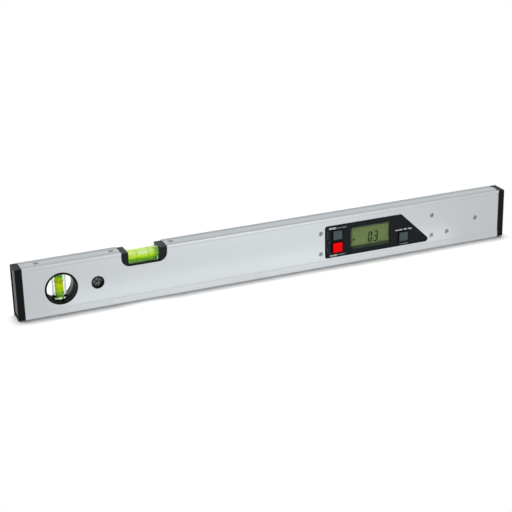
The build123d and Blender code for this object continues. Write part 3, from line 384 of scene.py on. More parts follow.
# Where the wall turns smooth: from front to rear, and from left to right of the vial's axis
WALL_REAR, WALL_RIGHT = (-3.0, 5.0), (PLUMB.x - 3.0, PLUMB.x + 5.0)
WALL_ROUGH, WALL_SMOOTH = 0.95, 0.12


def window_wall():
    """Black wall of the round window, rough at the front and smooth towards the rear on its right."""
    look = Look("window_wall", Specular_IOR_Level=0.45)
    look.colour(look.mottle(look.noise("cloud"), WALL_DARK, WALL_LIGHT))
    rear = look.span(look.along("Y"), 0.0, 1.0, *WALL_REAR)
    right = look.span(look.along("X"), 0.0, 1.0, *WALL_RIGHT)
    smooth = look.span(look.math("MULTIPLY", rear, right), WALL_ROUGH, WALL_SMOOTH, 0.0, 1.0)
    look.link(smooth, look.shader.inputs["Roughness"])
    look.bump(look.noise("wall_grain"), depth=0.02, strength=0.3)
    return look.material


DISH_DARK, DISH_LIGHT, DISH_SCUFF = (0.030, 0.034, 0.034), (0.050, 0.055, 0.054), (0.24, 0.25, 0.235)
# Noise between which the scuffs show
SCUFF_SHOWS = (0.44, 0.62)


def plug_floor():
    """Worn floor of a cup plug: dark with pale scuffs."""
    look = Look("plug_floor", Specular_IOR_Level=0.2)
    scuffs = look.noise("scuffs")
    tone = look.mottle(look.noise("plug_grain"), DISH_DARK, DISH_LIGHT)
    look.colour(look.blend(look.span(scuffs, 0.0, 1.0, *SCUFF_SHOWS), tone, DISH_SCUFF))
    look.rough(scuffs, 0.45, 0.70)
    look.bump(scuffs, depth=0.1, strength=0.5)
    return look.material


# Tones of the slope: a painted reflection of the display's olive, and painted shade
BEZEL_REFLECTED_OLIVE, BEZEL_REFLECTED_PALE, BEZEL_SHADE = (0.042, 0.062, 0.038), (0.052, 0.075, 0.046), (0.006, 0.009, 0.008)
# Places along X between which the slope turns to painted shade
BEZEL_SHADE_TURN = (WINDOW_RIGHT - 0.2, WINDOW_RIGHT + 0.3)


def bezel_slope():
    """Slope round the display, with the display's olive painted on as a reflection, and painted shade at its
    right.
    """
    look = Look("display_bezel", Specular_IOR_Level=0.15)
    cloud = look.noise("cloud")
    # Painted shade at the right of the slope
    dark = look.span(look.along("X"), 0.0, 1.0, *BEZEL_SHADE_TURN)
    look.colour(look.blend(dark, look.mottle(cloud, BEZEL_REFLECTED_OLIVE, BEZEL_REFLECTED_PALE), BEZEL_SHADE))
    look.rough(cloud, 0.30, 0.40)
    return look.material


LCD_OLIVE, LCD_PALE, LCD_GRAIN = (0.113, 0.161, 0.053), (0.129, 0.180, 0.062), (0.106, 0.151, 0.049)


def display_face():
    """Reflective display: olive ground with a faint reflector grain."""
    look = Look("lcd_ground", Roughness=0.5, Specular_IOR_Level=0.1)
    grain = look.noise("display_grain")
    tone = look.mottle(look.noise("display_cloud"), LCD_OLIVE, LCD_PALE)
    look.colour(look.mottle(grain, tone, LCD_GRAIN, 0.4))
    look.bump(grain, depth=0.01, strength=0.2)
    return look.material


MASK_DARK, MASK_LIGHT, MASK_TRACK = (0.010, 0.060, 0.022), (0.014, 0.080, 0.030), (0.03, 0.13, 0.05)
# Noise between which the tracks show, and how much they do
TRACK_SHOWS, TRACK_SHARE = (0.48, 0.52), 0.6


def board_mask():
    """Green solder mask with faint tracks under it."""
    look = Look("board_green", Roughness=0.35)
    tracks = look.noise("tracks")
    tone = look.mottle(look.noise("board_cloud"), MASK_DARK, MASK_LIGHT)
    look.colour(look.blend(look.span(tracks, 0.0, TRACK_SHARE, *TRACK_SHOWS), tone, MASK_TRACK))
    look.bump(tracks, depth=0.04, strength=0.4)
    return look.material


# Tones of what is in the vials, by height above the vial's axis: the dye's colour with painted light and
# shade
PLUMB_DYE_AND_SHADING = [
    (-11.0, (0.18, 0.60, 0.03)), (-9.4, (0.60, 1.0, 0.12)), (-7.5, (0.68, 1.0, 0.10)),
    (-6.3, (0.50, 0.95, 0.02)), (-3.0, (0.76, 1.0, 0.006)), (1.0, (0.93, 1.0, 0.002)),
    (6.0, (0.90, 1.0, 0.002)), (8.2, (0.66, 1.0, 0.012)), (10.0, (0.46, 1.0, 0.03)),
    (11.0, (0.14, 0.50, 0.02)), (13.5, (0.35, 0.85, 0.30)),
]
TOP_DYE_AND_SHADING = [
    (-5.2, (0.30, 0.50, 0.10)), (-4.2, (0.45, 0.98, 0.18)), (-3.2, (0.42, 0.98, 0.10)),
    (-2.3, (0.09, 0.60, 0.008)), (-1.5, (0.50, 0.98, 0.04)), (-0.7, (0.76, 1.0, 0.022)),
    (1.5, (0.76, 1.0, 0.05)), (3.0, (0.76, 0.90, 0.22)), (4.6, (0.70, 0.84, 0.24)),
    (5.35, (0.60, 0.72, 0.22)),
]
STOPPER_TINT_AND_SHADING = [(-5.4, (0.16, 0.50, 0.12)), (0.0, (0.30, 0.66, 0.16)), (5.4, (0.42, 0.66, 0.24))]
TOP_AIR_TINT_AND_SHADING = [
    (2.2, (0.82, 0.88, 0.80)), (3.6, (0.80, 0.86, 0.70)), (4.4, (0.70, 0.84, 0.34)),
    (5.3, (0.66, 0.80, 0.28)),
]
PLUMB_TRANSMISSION, TOP_TRANSMISSION = 0.5, 0.3
# The bubble's second tone is painted shade at its rim
AIR_PALE, AIR_RIM_SHADE = (0.42, 0.80, 0.46), (0.06, 0.26, 0.06)
# The acrylic's second tone is painted shade for the sides of the plumb vial's bar
ACRYLIC, ACRYLIC_RIM_SHADE, ACRYLIC_SHINE = (0.82, 0.89, 0.83), (0.42, 0.48, 0.43), (0.25, 0.30, 0.05)
PANE, PANE_SHINE = (0.985, 0.99, 0.985), (1.0, 1.0, 1.0)

# Keys: dark and light tone of the face, tone and widths of the painted rim shade, specular level
GREY_KEY = ((0.058, 0.077, 0.084), (0.068, 0.089, 0.096), (0.014, 0.018, 0.018), (0.6, 0.6, 1.5, 0.5), 0.1)
RED_KEY = ((0.93, 0.001, 0.002), (0.97, 0.002, 0.004), (0.24, 0.001, 0.008), (1.4, 1.3, 1.4, 1.0), 0.03)

# Plastics and prints: dark and light tone, lowest and highest roughness, specular level
MOULDED = {
    "black_plastic": ((0.0030, 0.0035, 0.004), (0.0055, 0.006, 0.0065), (0.38, 0.50), 0.10),
    "panel_black": ((0.009, 0.012, 0.0135), (0.012, 0.016, 0.018), (0.36, 0.48), 0.05),
    "holder_black": ((0.0022, 0.0030, 0.0028), (0.0045, 0.0055, 0.0050), (0.36, 0.46), 0.19),
    "cap_panel": ((0.006, 0.006, 0.0065), (0.009, 0.009, 0.010), (0.30, 0.42), 0.36),
    # Painted shade laid round the keys
    "key_well_shade": ((0.0010, 0.0012, 0.0013), (0.0018, 0.0020, 0.0022), (0.6, 0.7), 0.02),
    "ring_green": ((0.22, 0.34, 0.010), (0.27, 0.40, 0.018), (0.4, 0.5), 0.2),
    "plumb_ring_green": ((0.09, 0.18, 0.004), (0.12, 0.22, 0.008), (0.4, 0.5), 0.2),
    "vial_cup": ((0.018, 0.040, 0.026), (0.024, 0.050, 0.032), (0.4, 0.5), 0.2),
    "legend_white": ((0.72, 0.74, 0.74), (0.80, 0.82, 0.82), (0.5, 0.6), 0.2),
    "legend_grey": ((0.24, 0.26, 0.28), (0.30, 0.32, 0.34), (0.5, 0.6), 0.2),
    "legend_faint": ((0.055, 0.062, 0.070), (0.065, 0.072, 0.080), (0.5, 0.6), 0.1),
    "lcd_segment": ((0.006, 0.018, 0.002), (0.010, 0.025, 0.004), (0.5, 0.6), 0.05),
    "reflector_white": ((0.50, 0.55, 0.45), (0.56, 0.60, 0.50), (0.5, 0.6), 0.3),
    "gasket_rubber": ((0.010, 0.010, 0.011), (0.018, 0.018, 0.019), (0.7, 0.85), 0.2),
    "chip_black": ((0.010, 0.010, 0.010), (0.016, 0.016, 0.016), (0.45, 0.6), 0.3),
    "plunger_white": ((0.66, 0.66, 0.62), (0.72, 0.72, 0.68), (0.4, 0.5), 0.4),
    "cell_jacket": ((0.018, 0.021, 0.028), (0.026, 0.030, 0.038), (0.25, 0.35), 0.5),
    "wire_red": ((0.42, 0.006, 0.006), (0.50, 0.010, 0.010), (0.4, 0.5), 0.4),
    "wire_black": ((0.006, 0.006, 0.006), (0.010, 0.010, 0.010), (0.4, 0.5), 0.4),
}

# Steels: dark and light tone, lowest and highest roughness
STEELS = {
    "screw_steel": ((0.23, 0.235, 0.235), (0.34, 0.34, 0.335), (0.30, 0.45)),
    "sensor_can": ((0.50, 0.50, 0.49), (0.62, 0.62, 0.60), (0.22, 0.34)),
    "contact_nickel": ((0.52, 0.50, 0.46), (0.64, 0.62, 0.57), (0.2, 0.32)),
}

LOOKS = {
    "satin_aluminium": aluminium(),
    "clear_acrylic": clear("clear_acrylic", ACRYLIC, ACRYLIC_IOR, ACRYLIC_SHINE),
    "plumb_acrylic": rim_shaded_glass("plumb_acrylic", ACRYLIC, ACRYLIC_RIM_SHADE, ACRYLIC_IOR, ACRYLIC_SHINE),
    "window_clear": clear("window_clear", PANE, PANE_IOR, PANE_SHINE),
    "vial_liquid": liquid("vial_liquid", PLUMB, PLUMB_DYE_AND_SHADING, PLUMB_TRANSMISSION),
    "vial_bubble": air_pocket("vial_bubble", AIR_PALE, AIR_RIM_SHADE),
    "top_liquid": liquid("top_vial_liquid", TOP_VIAL, TOP_DYE_AND_SHADING, TOP_TRANSMISSION, stopper_shade=True),
    "top_bubble": liquid("top_vial_bubble", TOP_VIAL, TOP_AIR_TINT_AND_SHADING, TOP_TRANSMISSION),
    "stopper": liquid("top_vial_stopper", TOP_VIAL, STOPPER_TINT_AND_SHADING, TOP_TRANSMISSION, STOPPER_IOR),
    "vial_foot": vial_foot(),
    "hold_key": soft_key("hold", *GREY_KEY),
    "unit_key": soft_key("unit", *GREY_KEY),
    "power_key": soft_key("power", *RED_KEY),
    "lcd_green": display_face(),
    "display_bezel": bezel_slope(),
    "window_wall": window_wall(),
    "plug_floor": plug_floor(),
    "board_green": board_mask(),
}
LOOKS.update({name: moulded(name, *row) for name, row in MOULDED.items()})
LOOKS.update({name: steel(name, *row) for name, row in STEELS.items()})

# CAD nodes whose look isn't that of their slot
OWN_LOOKS = {
    "plumb_holder": "window_wall",
    "top_vial_holder": "holder_black",
    "plumb_vial_rings": "plumb_ring_green",
    "top_vial_rings": "ring_green",
    "top_vial_plug": "stopper",
    "hold_button": "hold_key",
    "power_button": "power_key",
    "unit_button": "unit_key",
}
for entry in SUBPARTS:
    slots = NODES[entry["node"]].data.materials
    slots.clear()
    slots.append(LOOKS[OWN_LOOKS.get(entry["node"], entry["material_slot"])])


# Building helpers

WELD = 1e-4
SHARP_ANGLE = math.radians(35)
# Radius that stands for a point on the axis of a turned piece
AXIS_R = 0.002


def add_piece(name, work, look, body="level", smooth=True):
    """New piece from a bmesh drawn in millimetres. It rides on a body."""
    bmesh.ops.remove_doubles(work, verts=work.verts, dist=WELD)
    bmesh.ops.recalc_face_normals(work, faces=work.faces)
    work.transform(Matrix.Scale(MM, 4))
    mesh = bpy.data.meshes.new(name)
    work.to_mesh(mesh)
    work.free()
    mesh.materials.append(LOOKS[look])
    if smooth:
        for face in mesh.polygons:
            face.use_smooth = True
        mesh.set_sharp_from_angle(angle=SHARP_ANGLE)
    piece = bpy.data.objects.new(name, mesh)
    scene.collection.objects.link(piece)
    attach(piece, body)
    return piece


def loft(work, loops, closed=False):
    """Skin over loops of points, each with as many points. It is capped, or runs round to the first loop."""
    rings = [[work.verts.new(point) for point in loop] for loop in loops]
    pairs = list(zip(rings, rings[1:]))
    if closed:
        pairs.append((rings[-1], rings[0]))
    else:
        work.faces.new(rings[0][::-1])
        work.faces.new(rings[-1])
    for first, second in pairs:
        for k in range(len(first)):
            n = (k + 1) % len(first)
            work.faces.new((first[k], first[n], second[n], second[k]))


def lofted(loops, closed=False):
    """New bmesh with one skin over loops of points."""
    work = bmesh.new()
    loft(work, loops, closed)
    return work


def lathe(outline, place, closed=False, steps=192):
    """Solid of revolution about local Z. outline holds (distance along the axis, radius)."""
    turns = [2 * math.pi * k / steps for k in range(steps)]
    loops = []
    for along, radius in outline:
        reach = max(radius, AXIS_R)
        loops.append([place @ Vector((reach * math.cos(t), reach * math.sin(t), along)) for t in turns])
    return lofted(loops, closed)


def rounded(left, right, low, top, radius, steps=6):
    """Outline of a rounded rectangle."""
    points = []
    corners = ((right, top, 0), (left, top, 1), (left, low, 2), (right, low, 3))
    for x, z, quarter in corners:
        across = x - math.copysign(radius, x - (left + right) / 2)
        up = z - math.copysign(radius, z - (low + top) / 2)
        for k in range(steps + 1):
            turn = math.pi / 2 * (quarter + k / steps)
            points.append((across + radius * math.cos(turn), up + radius * math.sin(turn)))
    return points


def on_front(outline, depth):
    """Outline of (x, z) points at a depth towards the front."""
    return [Vector((x, -depth, z)) for x, z in outline]


def capped(low, high, radius, edge, steps=6):
    """Outline of a cylinder with rounded edges."""
    points = [(low, 0.0)]
    for k in range(steps + 1):
        turn = math.pi / 2 * k / steps
        points.append((low + edge * (1 - math.cos(turn)), radius - edge * (1 - math.sin(turn))))
    for k in range(steps + 1):
        turn = math.pi / 2 * k / steps
        points.append((high - edge * (1 - math.sin(turn)), radius - edge * (1 - math.cos(turn))))
    points.append((high, 0.0))
    return points


# Vials: the clear body is one solid round a coloured liquid, with the bubble at the top of the liquid

PLUMB_BORE_R, TOP_BORE_R = 3.3, 5.45
BORE_BULGE = 0.15
GLASS_EDGE = 0.6
STOPPER_GAP = 0.05
TOP_LIQUID_NOSE = 0.6
# The bubbles reach a little past the bore, so that they show in front of the liquid
PLUMB_BUBBLE_R, PLUMB_BUBBLE_EDGE = PLUMB_BORE_R + 0.06, 1.6
TOP_BUBBLE_R, TOP_BUBBLE_HALF, TOP_BUBBLE_LEVEL = TOP_BORE_R + 0.05, 7.0, 2.6
# Thickness of the long bubble at its ends, and width of its flat side as a share of its arch
BUBBLE_RIM, BUBBLE_CHORD = 0.01, 0.98
UPRIGHT = Matrix.Translation(PLUMB)
ALONG = Matrix.Translation(TOP_VIAL) @ Matrix.Rotation(math.pi / 2, 4, "Y")


def barrel(low, high, radius, nose=0.0, steps=40):
    """Outline of a barrel-shaped liquid column whose upper end is rounded off over a nose."""
    points = [(low, 0.0)]
    for k in range(steps + 1):
        share = 2 * k / steps - 1
        at = low + (high - low) * k / steps
        reach = radius - BORE_BULGE * share**2
        into_nose = max(0.0, (at - high + nose) / nose) if nose else 0.0
        points.append((at, reach * math.sqrt(max(0.0, 1 - into_nose**2))))
    points.append((high, 0.0))
    return points


def vial_reach(name, axis, middle):
    """Ends of a vial's liquid column, from the end of the bore to just before the stopper."""
    low, _ = node_box(f"{name}_vial_liquid")
    stopper, _ = node_box(f"{name}_vial_plug")
    return low[axis] - middle, stopper[axis] - middle - STOPPER_GAP


plumb_half = node_box("plumb_vial_body")[1].z - PLUMB.z
plumb_glass = add_piece(
    "plumb_vial_glass", lathe(capped(-plumb_half, plumb_half, PLUMB_VIAL_R, GLASS_EDGE), UPRIGHT),
    "plumb_acrylic",
)
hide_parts("plumb_vial_body")
plumb_low, plumb_high = vial_reach("plumb", 2, PLUMB.z)
plumb_liquid = add_piece(
    "plumb_vial_fluid", lathe(barrel(plumb_low, plumb_high, PLUMB_BORE_R), UPRIGHT),
    "vial_liquid",
)
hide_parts("plumb_vial_liquid")
bubble_low, bubble_high = (corner.z - PLUMB.z for corner in node_box("plumb_bubble"))
plumb_air = add_piece(
    "plumb_vial_bubble", lathe(capped(bubble_low, bubble_high, PLUMB_BUBBLE_R, PLUMB_BUBBLE_EDGE), UPRIGHT),
    "vial_bubble", "plumb_bubble",
)
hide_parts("plumb_bubble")

# Foot of the plumb vial: a bar with painted glints inside the clear body, and a dark half cup behind it

FOOT_HALF, FOOT_ROUND = 4.3, 0.2
# Height from the vial's middle and half depth, at the foot's lower and upper face
FOOT_FACES = ((-15.1, 1.4), (-13.8, 1.0))
CUP_LOW, CUP_HIGH, CUP_WALL, CUP_GAP = -16.6, -12.9, 1.2, 0.1


def half_cup(inside, outside, low, high, steps=48):
    """Half ring round the rear of the plumb vial."""
    section = ((inside, low), (outside, low), (outside, high), (inside, high))
    loops = []
    for k in range(steps + 1):
        turn = math.pi * k / steps
        reach = Vector((math.cos(turn), math.sin(turn), 0))
        loops.append([PLUMB + reach * radius + Vector((0, 0, up)) for radius, up in section])
    return lofted(loops)


foot = lofted([
    [PLUMB + Vector((x, y, up)) for x, y in rounded(-FOOT_HALF, FOOT_HALF, -depth, depth, FOOT_ROUND)]
    for up, depth in FOOT_FACES
])
add_piece("plumb_vial_foot", foot, "vial_foot")
cup_inside = PLUMB_VIAL_R + CUP_GAP
cup = half_cup(cup_inside, cup_inside + CUP_WALL, CUP_LOW, CUP_HIGH)
add_piece("plumb_vial_cup", cup, "vial_cup")

# Level vial

top_half = node_box("top_vial_body")[1].x - TOP_VIAL.x
top_glass = add_piece(
    "top_vial_glass", lathe(capped(-top_half, top_half, TOP_VIAL_R, GLASS_EDGE), ALONG),
    "clear_acrylic",
)
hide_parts("top_vial_body")
top_low, top_high = vial_reach("top", 0, TOP_VIAL.x)
top_liquid = add_piece(
    "top_vial_fluid", lathe(barrel(top_low, top_high, TOP_BORE_R, TOP_LIQUID_NOSE), ALONG),
    "top_liquid",
)
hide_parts("top_vial_liquid")


def long_bubble(half_length, level, radius, stations=40, steps=20):
    """Bubble at the top of a lying bore: the bore's arch above a flat surface that rises to both ends."""
    loops = []
    for k in range(stations + 1):
        share = -math.cos(math.pi * k / stations)
        flat = level + (radius - BUBBLE_RIM - level) * abs(share)**4
        half = math.acos(flat / radius)
        turns = [half * (2 * n / steps - 1) for n in range(steps + 1)]
        x = TOP_VIAL.x + half_length * share
        arch = [Vector((x, radius * math.sin(t), TOP_VIAL.z + radius * math.cos(t))) for t in turns]
        chord = [Vector((x, -radius * math.sin(t) * BUBBLE_CHORD, TOP_VIAL.z + flat)) for t in turns]
        loops.append(arch + chord)
    return lofted(loops)


top_air = add_piece(
    "top_vial_bubble", long_bubble(TOP_BUBBLE_HALF, TOP_BUBBLE_LEVEL, TOP_BUBBLE_R),
    "top_bubble", "top_bubble",
)
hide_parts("top_bubble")


# Dished floors of the cup plugs

PLUG_CUP_DEPTH = 3.4
# Height above the cup's floor and radius, round the floor's section
PLUG_FLOOR_RINGS = [
    (0.01, 1.15), (0.01, 5.80), (0.25, 5.80), (0.30, 5.60), (0.30, 4.40), (0.15, 4.20), (0.15, 3.10),
    (0.30, 2.90), (0.30, 1.35), (0.25, 1.15),
]
plug_rings = [(FACE - PLUG_CUP_DEPTH + up, radius) for up, radius in PLUG_FLOOR_RINGS]
for plug_name, side in (("front", 1), ("rear", -1)):
    face_out = Matrix.Translation((PLUG.x, 0, PLUG.z)) @ Matrix.Rotation(side * math.pi / 2, 4, "X")
    dish = lathe(plug_rings, face_out, closed=True)
    add_piece(f"{plug_name}_plug_floor", dish, "plug_floor")


# Smooth plates in the recesses of the end caps

CAP_RECESS = 1.1
PLATE_BORDER, PLATE_ROUND = 4.0, 1.4
# Height above the recess's floor and inset from the border, from the plate's foot to its top
PLATE_STEPS = ((0.01, 0.12), (0.18, 0.12), (0.30, 0.45))
for cap_name, side in (("left", -1), ("right", 1)):
    low, high = node_box(f"{cap_name}_end_cap")
    floor_x = abs(low.x if side < 0 else high.x) - CAP_RECESS
    loops = []
    for up, inset in PLATE_STEPS:
        border = PLATE_BORDER + inset
        outline = rounded(low.y + border, high.y - border, low.z + border, high.z - border, PLATE_ROUND)
        loops.append([Vector((side * (floor_x + up), y, z)) for y, z in outline])
    add_piece(f"{cap_name}_cap_plate", lofted(loops), "cap_panel")


# Grip ribs near the free end of the battery door

RIB_COUNT, RIB_STEP, RIB_FROM_END = 6, 1.7, 4.0
RIB_WIDTH, RIB_HEIGHT, RIB_LENGTH, RIB_ROUND = 0.9, 0.35, 14.0, 0.9
# Height above the door and inset, from a rib's foot to its top
RIB_STEPS = ((-0.05, 0.0), (RIB_HEIGHT * 0.5, 0.05), (RIB_HEIGHT, 0.25))
low, high = node_box("battery_door")
rib_z = (low.z + high.z) / 2
ribs = bmesh.new()
for k in range(RIB_COUNT):
    rib_x = high.x - RIB_FROM_END - k * RIB_STEP
    loops = []
    for up, inset in RIB_STEPS:
        half_width, half_length = RIB_WIDTH / 2 - inset, RIB_LENGTH / 2 - inset
        outline = rounded(
            rib_x - half_width, rib_x + half_width, rib_z - half_length, rib_z + half_length,
            half_width * RIB_ROUND,
        )
        loops.append([Vector((x, high.y + up, z)) for x, z in outline])
    loft(ribs, loops)
add_piece("battery_door_ribs", ribs, "black_plastic", "battery_door")


# Sloping bezel round the display's window

# Depth of the pane's front, where the slope ends
WINDOW_FRONT = 7.8
BEZEL_DEPTH = PANEL_FIELD - WINDOW_FRONT
BEZEL_ROUND, BEZEL_LIFT, BEZEL_INSIDE, BEZEL_THICK = 0.5, 0.02, 0.03, 0.25


def bezel_loop(grow, depth):
    """Outline of the window, grown to all sides, at a depth."""
    outline = rounded(
        WINDOW_LEFT - grow, WINDOW_RIGHT + grow, WINDOW_BOTTOM - grow, WINDOW_TOP + grow, BEZEL_ROUND,
    )
    return on_front(outline, depth)


bezel = lofted([
    bezel_loop(BEZEL_DEPTH, PANEL_FIELD + BEZEL_LIFT),
    bezel_loop(-BEZEL_INSIDE, PANEL_FIELD - BEZEL_DEPTH + BEZEL_LIFT),
    bezel_loop(BEZEL_THICK, PANEL_FIELD - BEZEL_DEPTH),
    bezel_loop(BEZEL_DEPTH, PANEL_FIELD - BEZEL_THICK),
], closed=True)
add_piece("display_bezel", bezel, "display_bezel")


# Digits, point and arrow of the display

SEGMENTS = {"0": "abcdef", "3": "abcdg"}
SEGMENT_GAP = 0.05
DIGIT_HEIGHT, DIGIT_STROKE, DIGIT_SLANT, DIGIT_BASE = 13.6, 1.85, 0.08, 20.1
# Digit, place of its left side, width
DIGITS = (("0", 120.5, 5.4), ("3", 127.7, 5.9))
POINT = [(126.2, 20.2), (127.5, 20.2), (127.5, 21.6), (126.2, 21.6)]
ARROW = [(100.9, 24.6), (104.2, 26.5), (100.9, 28.4)]
# Heights of the marks' back and front above the display
MARK_BACK, MARK_FRONT = 0.01, 0.06


def digit_outlines(digit, x, width):
    """Seven-segment strokes of one digit whose left side is at x."""
    gap = SEGMENT_GAP
    half = DIGIT_STROKE / 2
    middle = DIGIT_HEIGHT / 2

    def bar(x0, x1, level):
        return [
            (x0 + gap + half, level - half), (x1 - gap - half, level - half), (x1 - gap, level),
            (x1 - gap - half, level + half), (x0 + gap + half, level + half), (x0 + gap, level),
        ]

    def post(at, z0, z1):
        return [
            (at - half, z0 + gap + half), (at, z0 + gap), (at + half, z0 + gap + half),
            (at + half, z1 - gap - half), (at, z1 - gap), (at - half, z1 - gap - half),
        ]

    left, right, top = half, width - half, DIGIT_HEIGHT - half
    strokes = {
        "a": bar(left, right, top), "g": bar(left, right, middle), "d": bar(left, right, half),
        "f": post(left, middle, top), "b": post(right, middle, top),
        "e": post(left, half, middle), "c": post(right, half, middle),
    }
    return [
        [(x + px + DIGIT_SLANT * pz, DIGIT_BASE + pz) for px, pz in strokes[key]]
        for key in SEGMENTS[digit]
    ]


display_marks = [outline for row in DIGITS for outline in digit_outlines(*row)]
display_marks += [POINT, ARROW]
digits = bmesh.new()
for outline in display_marks:
    loft(digits, [on_front(outline, LCD_FRONT + lift) for lift in (MARK_BACK, MARK_FRONT)])
add_piece("lcd_digits", digits, "lcd_segment", smooth=False)


# Lip of the panel, which laps over the face at the slanted and lower edges

# Corners of the panel and their radii, and how far each side laps: lower, slanted, upper and left one
PANEL_CORNERS = [(62.5, 10.5), (203.6, 10.5), (162.3, 50.5), (62.5, 50.5)]
PANEL_ROUNDS = (2.7, 3.5, 1.0, 2.7)
LIP_LAPS = (0.25, 0.60, 0.02, 0.02)
NO_LAPS = (0.0, 0.0, 0.0, 0.0)
LIP_INSIDE, LIP_CHAMFER, LEAST_ROUND = 0.4, 0.03, 0.3
# Depths of the lip's back and front
LIP_BACK, LIP_FRONT = FACE + 0.005, FACE + 0.06


def pushed_out(corners, laps):
    """Corners of an outline whose sides are moved outwards, each by its own lap."""
    points = [Vector(corner) for corner in corners]
    sides = []
    for k, lap in enumerate(laps):
        start, end = points[k], points[(k + 1) % len(points)]
        along = (end - start).normalized()
        sides.append((start + Vector((along.y, -along.x)) * lap, along))
    moved = []
    for k, (start, along) in enumerate(sides):
        before, heading = sides[k - 1]
        gap = start - before
        reach = (gap.x * along.y - gap.y * along.x) / (heading.x * along.y - heading.y * along.x)
        moved.append(before + heading * reach)
    return moved


def rounded_corners(corners, rounds, steps=8):
    """Outline with each corner rounded by its own radius."""
    points = []
    for k, corner in enumerate(corners):
        back = (corners[k - 1] - corner).normalized()
        on = (corners[(k + 1) % len(corners)] - corner).normalized()
        half = back.angle(on) / 2
        centre = corner + (back + on).normalized() * (rounds[k] / math.sin(half))
        start, end = (corner + way * (rounds[k] / math.tan(half)) - centre for way in (back, on))
        turn = start.angle_signed(end)
        for n in range(steps + 1):
            points.append(centre + Matrix.Rotation(-turn * n / steps, 2) @ start)
    return points


def lip_loop(laps, grow, depth):
    """Outline of the panel with its laps, grown to all sides, at a depth."""
    rounds = [max(LEAST_ROUND, radius + grow) for radius in PANEL_ROUNDS]
    corners = pushed_out(PANEL_CORNERS, [lap + grow for lap in laps])
    return on_front(rounded_corners(corners, rounds), depth)


lip = lofted([
    lip_loop(LIP_LAPS, 0.0, LIP_BACK),
    lip_loop(LIP_LAPS, -LIP_CHAMFER, LIP_FRONT),
    lip_loop(NO_LAPS, -LIP_INSIDE, LIP_FRONT),
    lip_loop(NO_LAPS, -LIP_INSIDE, LIP_BACK),
], closed=True)
add_piece("display_lip", lip, "panel_black")


# Dark rings laid on the panel round the keys, painted shade of their wells, wider at the left and above

WELL_GAP, WELL_ROUND = 0.15, 1.0
WELL_SHADE_LEFT, WELL_SHADE_ABOVE, WELL_SIDE = 1.6, 0.9, 0.45
# Depths of the wells' back and front
WELL_BACK, WELL_FRONT = PANEL_FIELD + 0.01, PANEL_FIELD + 0.03
for key_name in ("hold", "power", "unit"):
    stem = node_middle(f"{key_name}_button")
    half = KEY_HALF[key_name] + WELL_GAP
    left, right, low, top = stem.x - half, stem.x + half, stem.z - half, stem.z + half
    inner = rounded(left, right, low, top, WELL_ROUND)
    outer = rounded(left - WELL_SHADE_LEFT, right + WELL_SIDE, low - WELL_SIDE, top + WELL_SHADE_ABOVE, WELL_ROUND)
    well = lofted([
        on_front(outer, WELL_BACK), on_front(outer, WELL_FRONT),
        on_front(inner, WELL_FRONT), on_front(inner, WELL_BACK),
    ], closed=True)
    add_piece(f"{key_name}_key_well_shade", well, "key_well_shade", smooth=False)


# Legends and lines printed on the panel

INK_DEPTH = PANEL_FIELD + 0.03
INK_HALF = 0.02
INK_ROUND = 0.2
LETTER_STEPS = 3
# Piece, words, left, right, base, height, ink, boldness
LEGENDS = [
    ("legend_hold", "HOLD", 68.2, 76.9, 45.3, 2.4, "legend_white", 0.10),
    ("legend_hold_range", "0.0°/90°", 77.6, 91.3, 45.0, 1.9, "legend_grey", 0.06),
    ("legend_power", "ON/OFF", 68.9, 78.5, 11.5, 2.0, "legend_white", 0.06),
    ("legend_power_range", "0-360°", 79.3, 89.8, 12.0, 1.5, "legend_grey", 0.06),
    ("legend_unit_slope", "mm/m", 155.8, 165.6, 29.9, 1.6, "legend_white", 0.075),
    ("legend_unit_percent", "%", 167.2, 170.6, 29.6, 1.9, "legend_white", 0.075),
    ("legend_unit_degree", "deg", 172.2, 177.6, 29.4, 2.2, "legend_white", 0.075),
]
# Ink and bars of each printed line: left, right, low, top
PANEL_LINES = {
    "unit_key_line": ("legend_grey", [(161.7, 172.6, 12.0, 12.7)]),
    "hold_key_bracket": ("legend_faint", [(66.0, 66.9, 33.5, 43.4)]),
    "power_key_bracket": (
        "legend_faint",
        [(65.9, 66.8, 17.6, 24.0), (67.2, 70.2, 29.3, 30.1), (68.2, 70.4, 16.2, 17.0)],
    ),
}


def legend(words, left, right, base, height, bold):
    """Printed words that fill the space from left to right and from base up to a height."""
    curve = bpy.data.curves.new("words", "FONT")
    curve.body = words
    curve.size = height
    curve.extrude = INK_HALF
    curve.offset = bold
    curve.resolution_u = LETTER_STEPS
    drawn = bpy.data.objects.new("words", curve)
    mesh = bpy.data.meshes.new_from_object(drawn)
    bpy.data.objects.remove(drawn)
    work = bmesh.new()
    work.from_mesh(mesh)
    bpy.data.meshes.remove(mesh)
    across = [vert.co.x for vert in work.verts]
    up = [vert.co.y for vert in work.verts]
    first, lowest = min(across), min(up)
    wide = (right - left) / (max(across) - first)
    tall = height / (max(up) - lowest)
    for vert in work.verts:
        x, y, z = vert.co
        vert.co = Vector((left + (x - first) * wide, -INK_DEPTH - z, base + (y - lowest) * tall))
    return work


for name, words, left, right, base, height, ink, bold in LEGENDS:
    inked = legend(words, left, right, base, height, bold)
    add_piece(name, inked, ink, smooth=False)

for name, (ink, bars) in PANEL_LINES.items():
    lines = bmesh.new()
    for bar in bars:
        outline = rounded(*bar, INK_ROUND)
        loft(lines, [on_front(outline, INK_DEPTH - INK_HALF), on_front(outline, INK_DEPTH + INK_HALF)])
    add_piece(name, lines, ink, smooth=False)


# Floor, world and lamps, in metres and watts where nothing else is said

WHITE = (1.0, 1.0, 1.0, 1.0)
FLOOR_HALF = 6.0
FLOOR_TONE = (0.65, 0.65, 0.65, 1.0)
FLOOR_LIFT = 0.02
# The floor turns plain white between these distances, along X counted by half
SHADOW_END = (0.22, 0.45)
SHADOW_SCALE = (0.5, 1.0, 1.0)
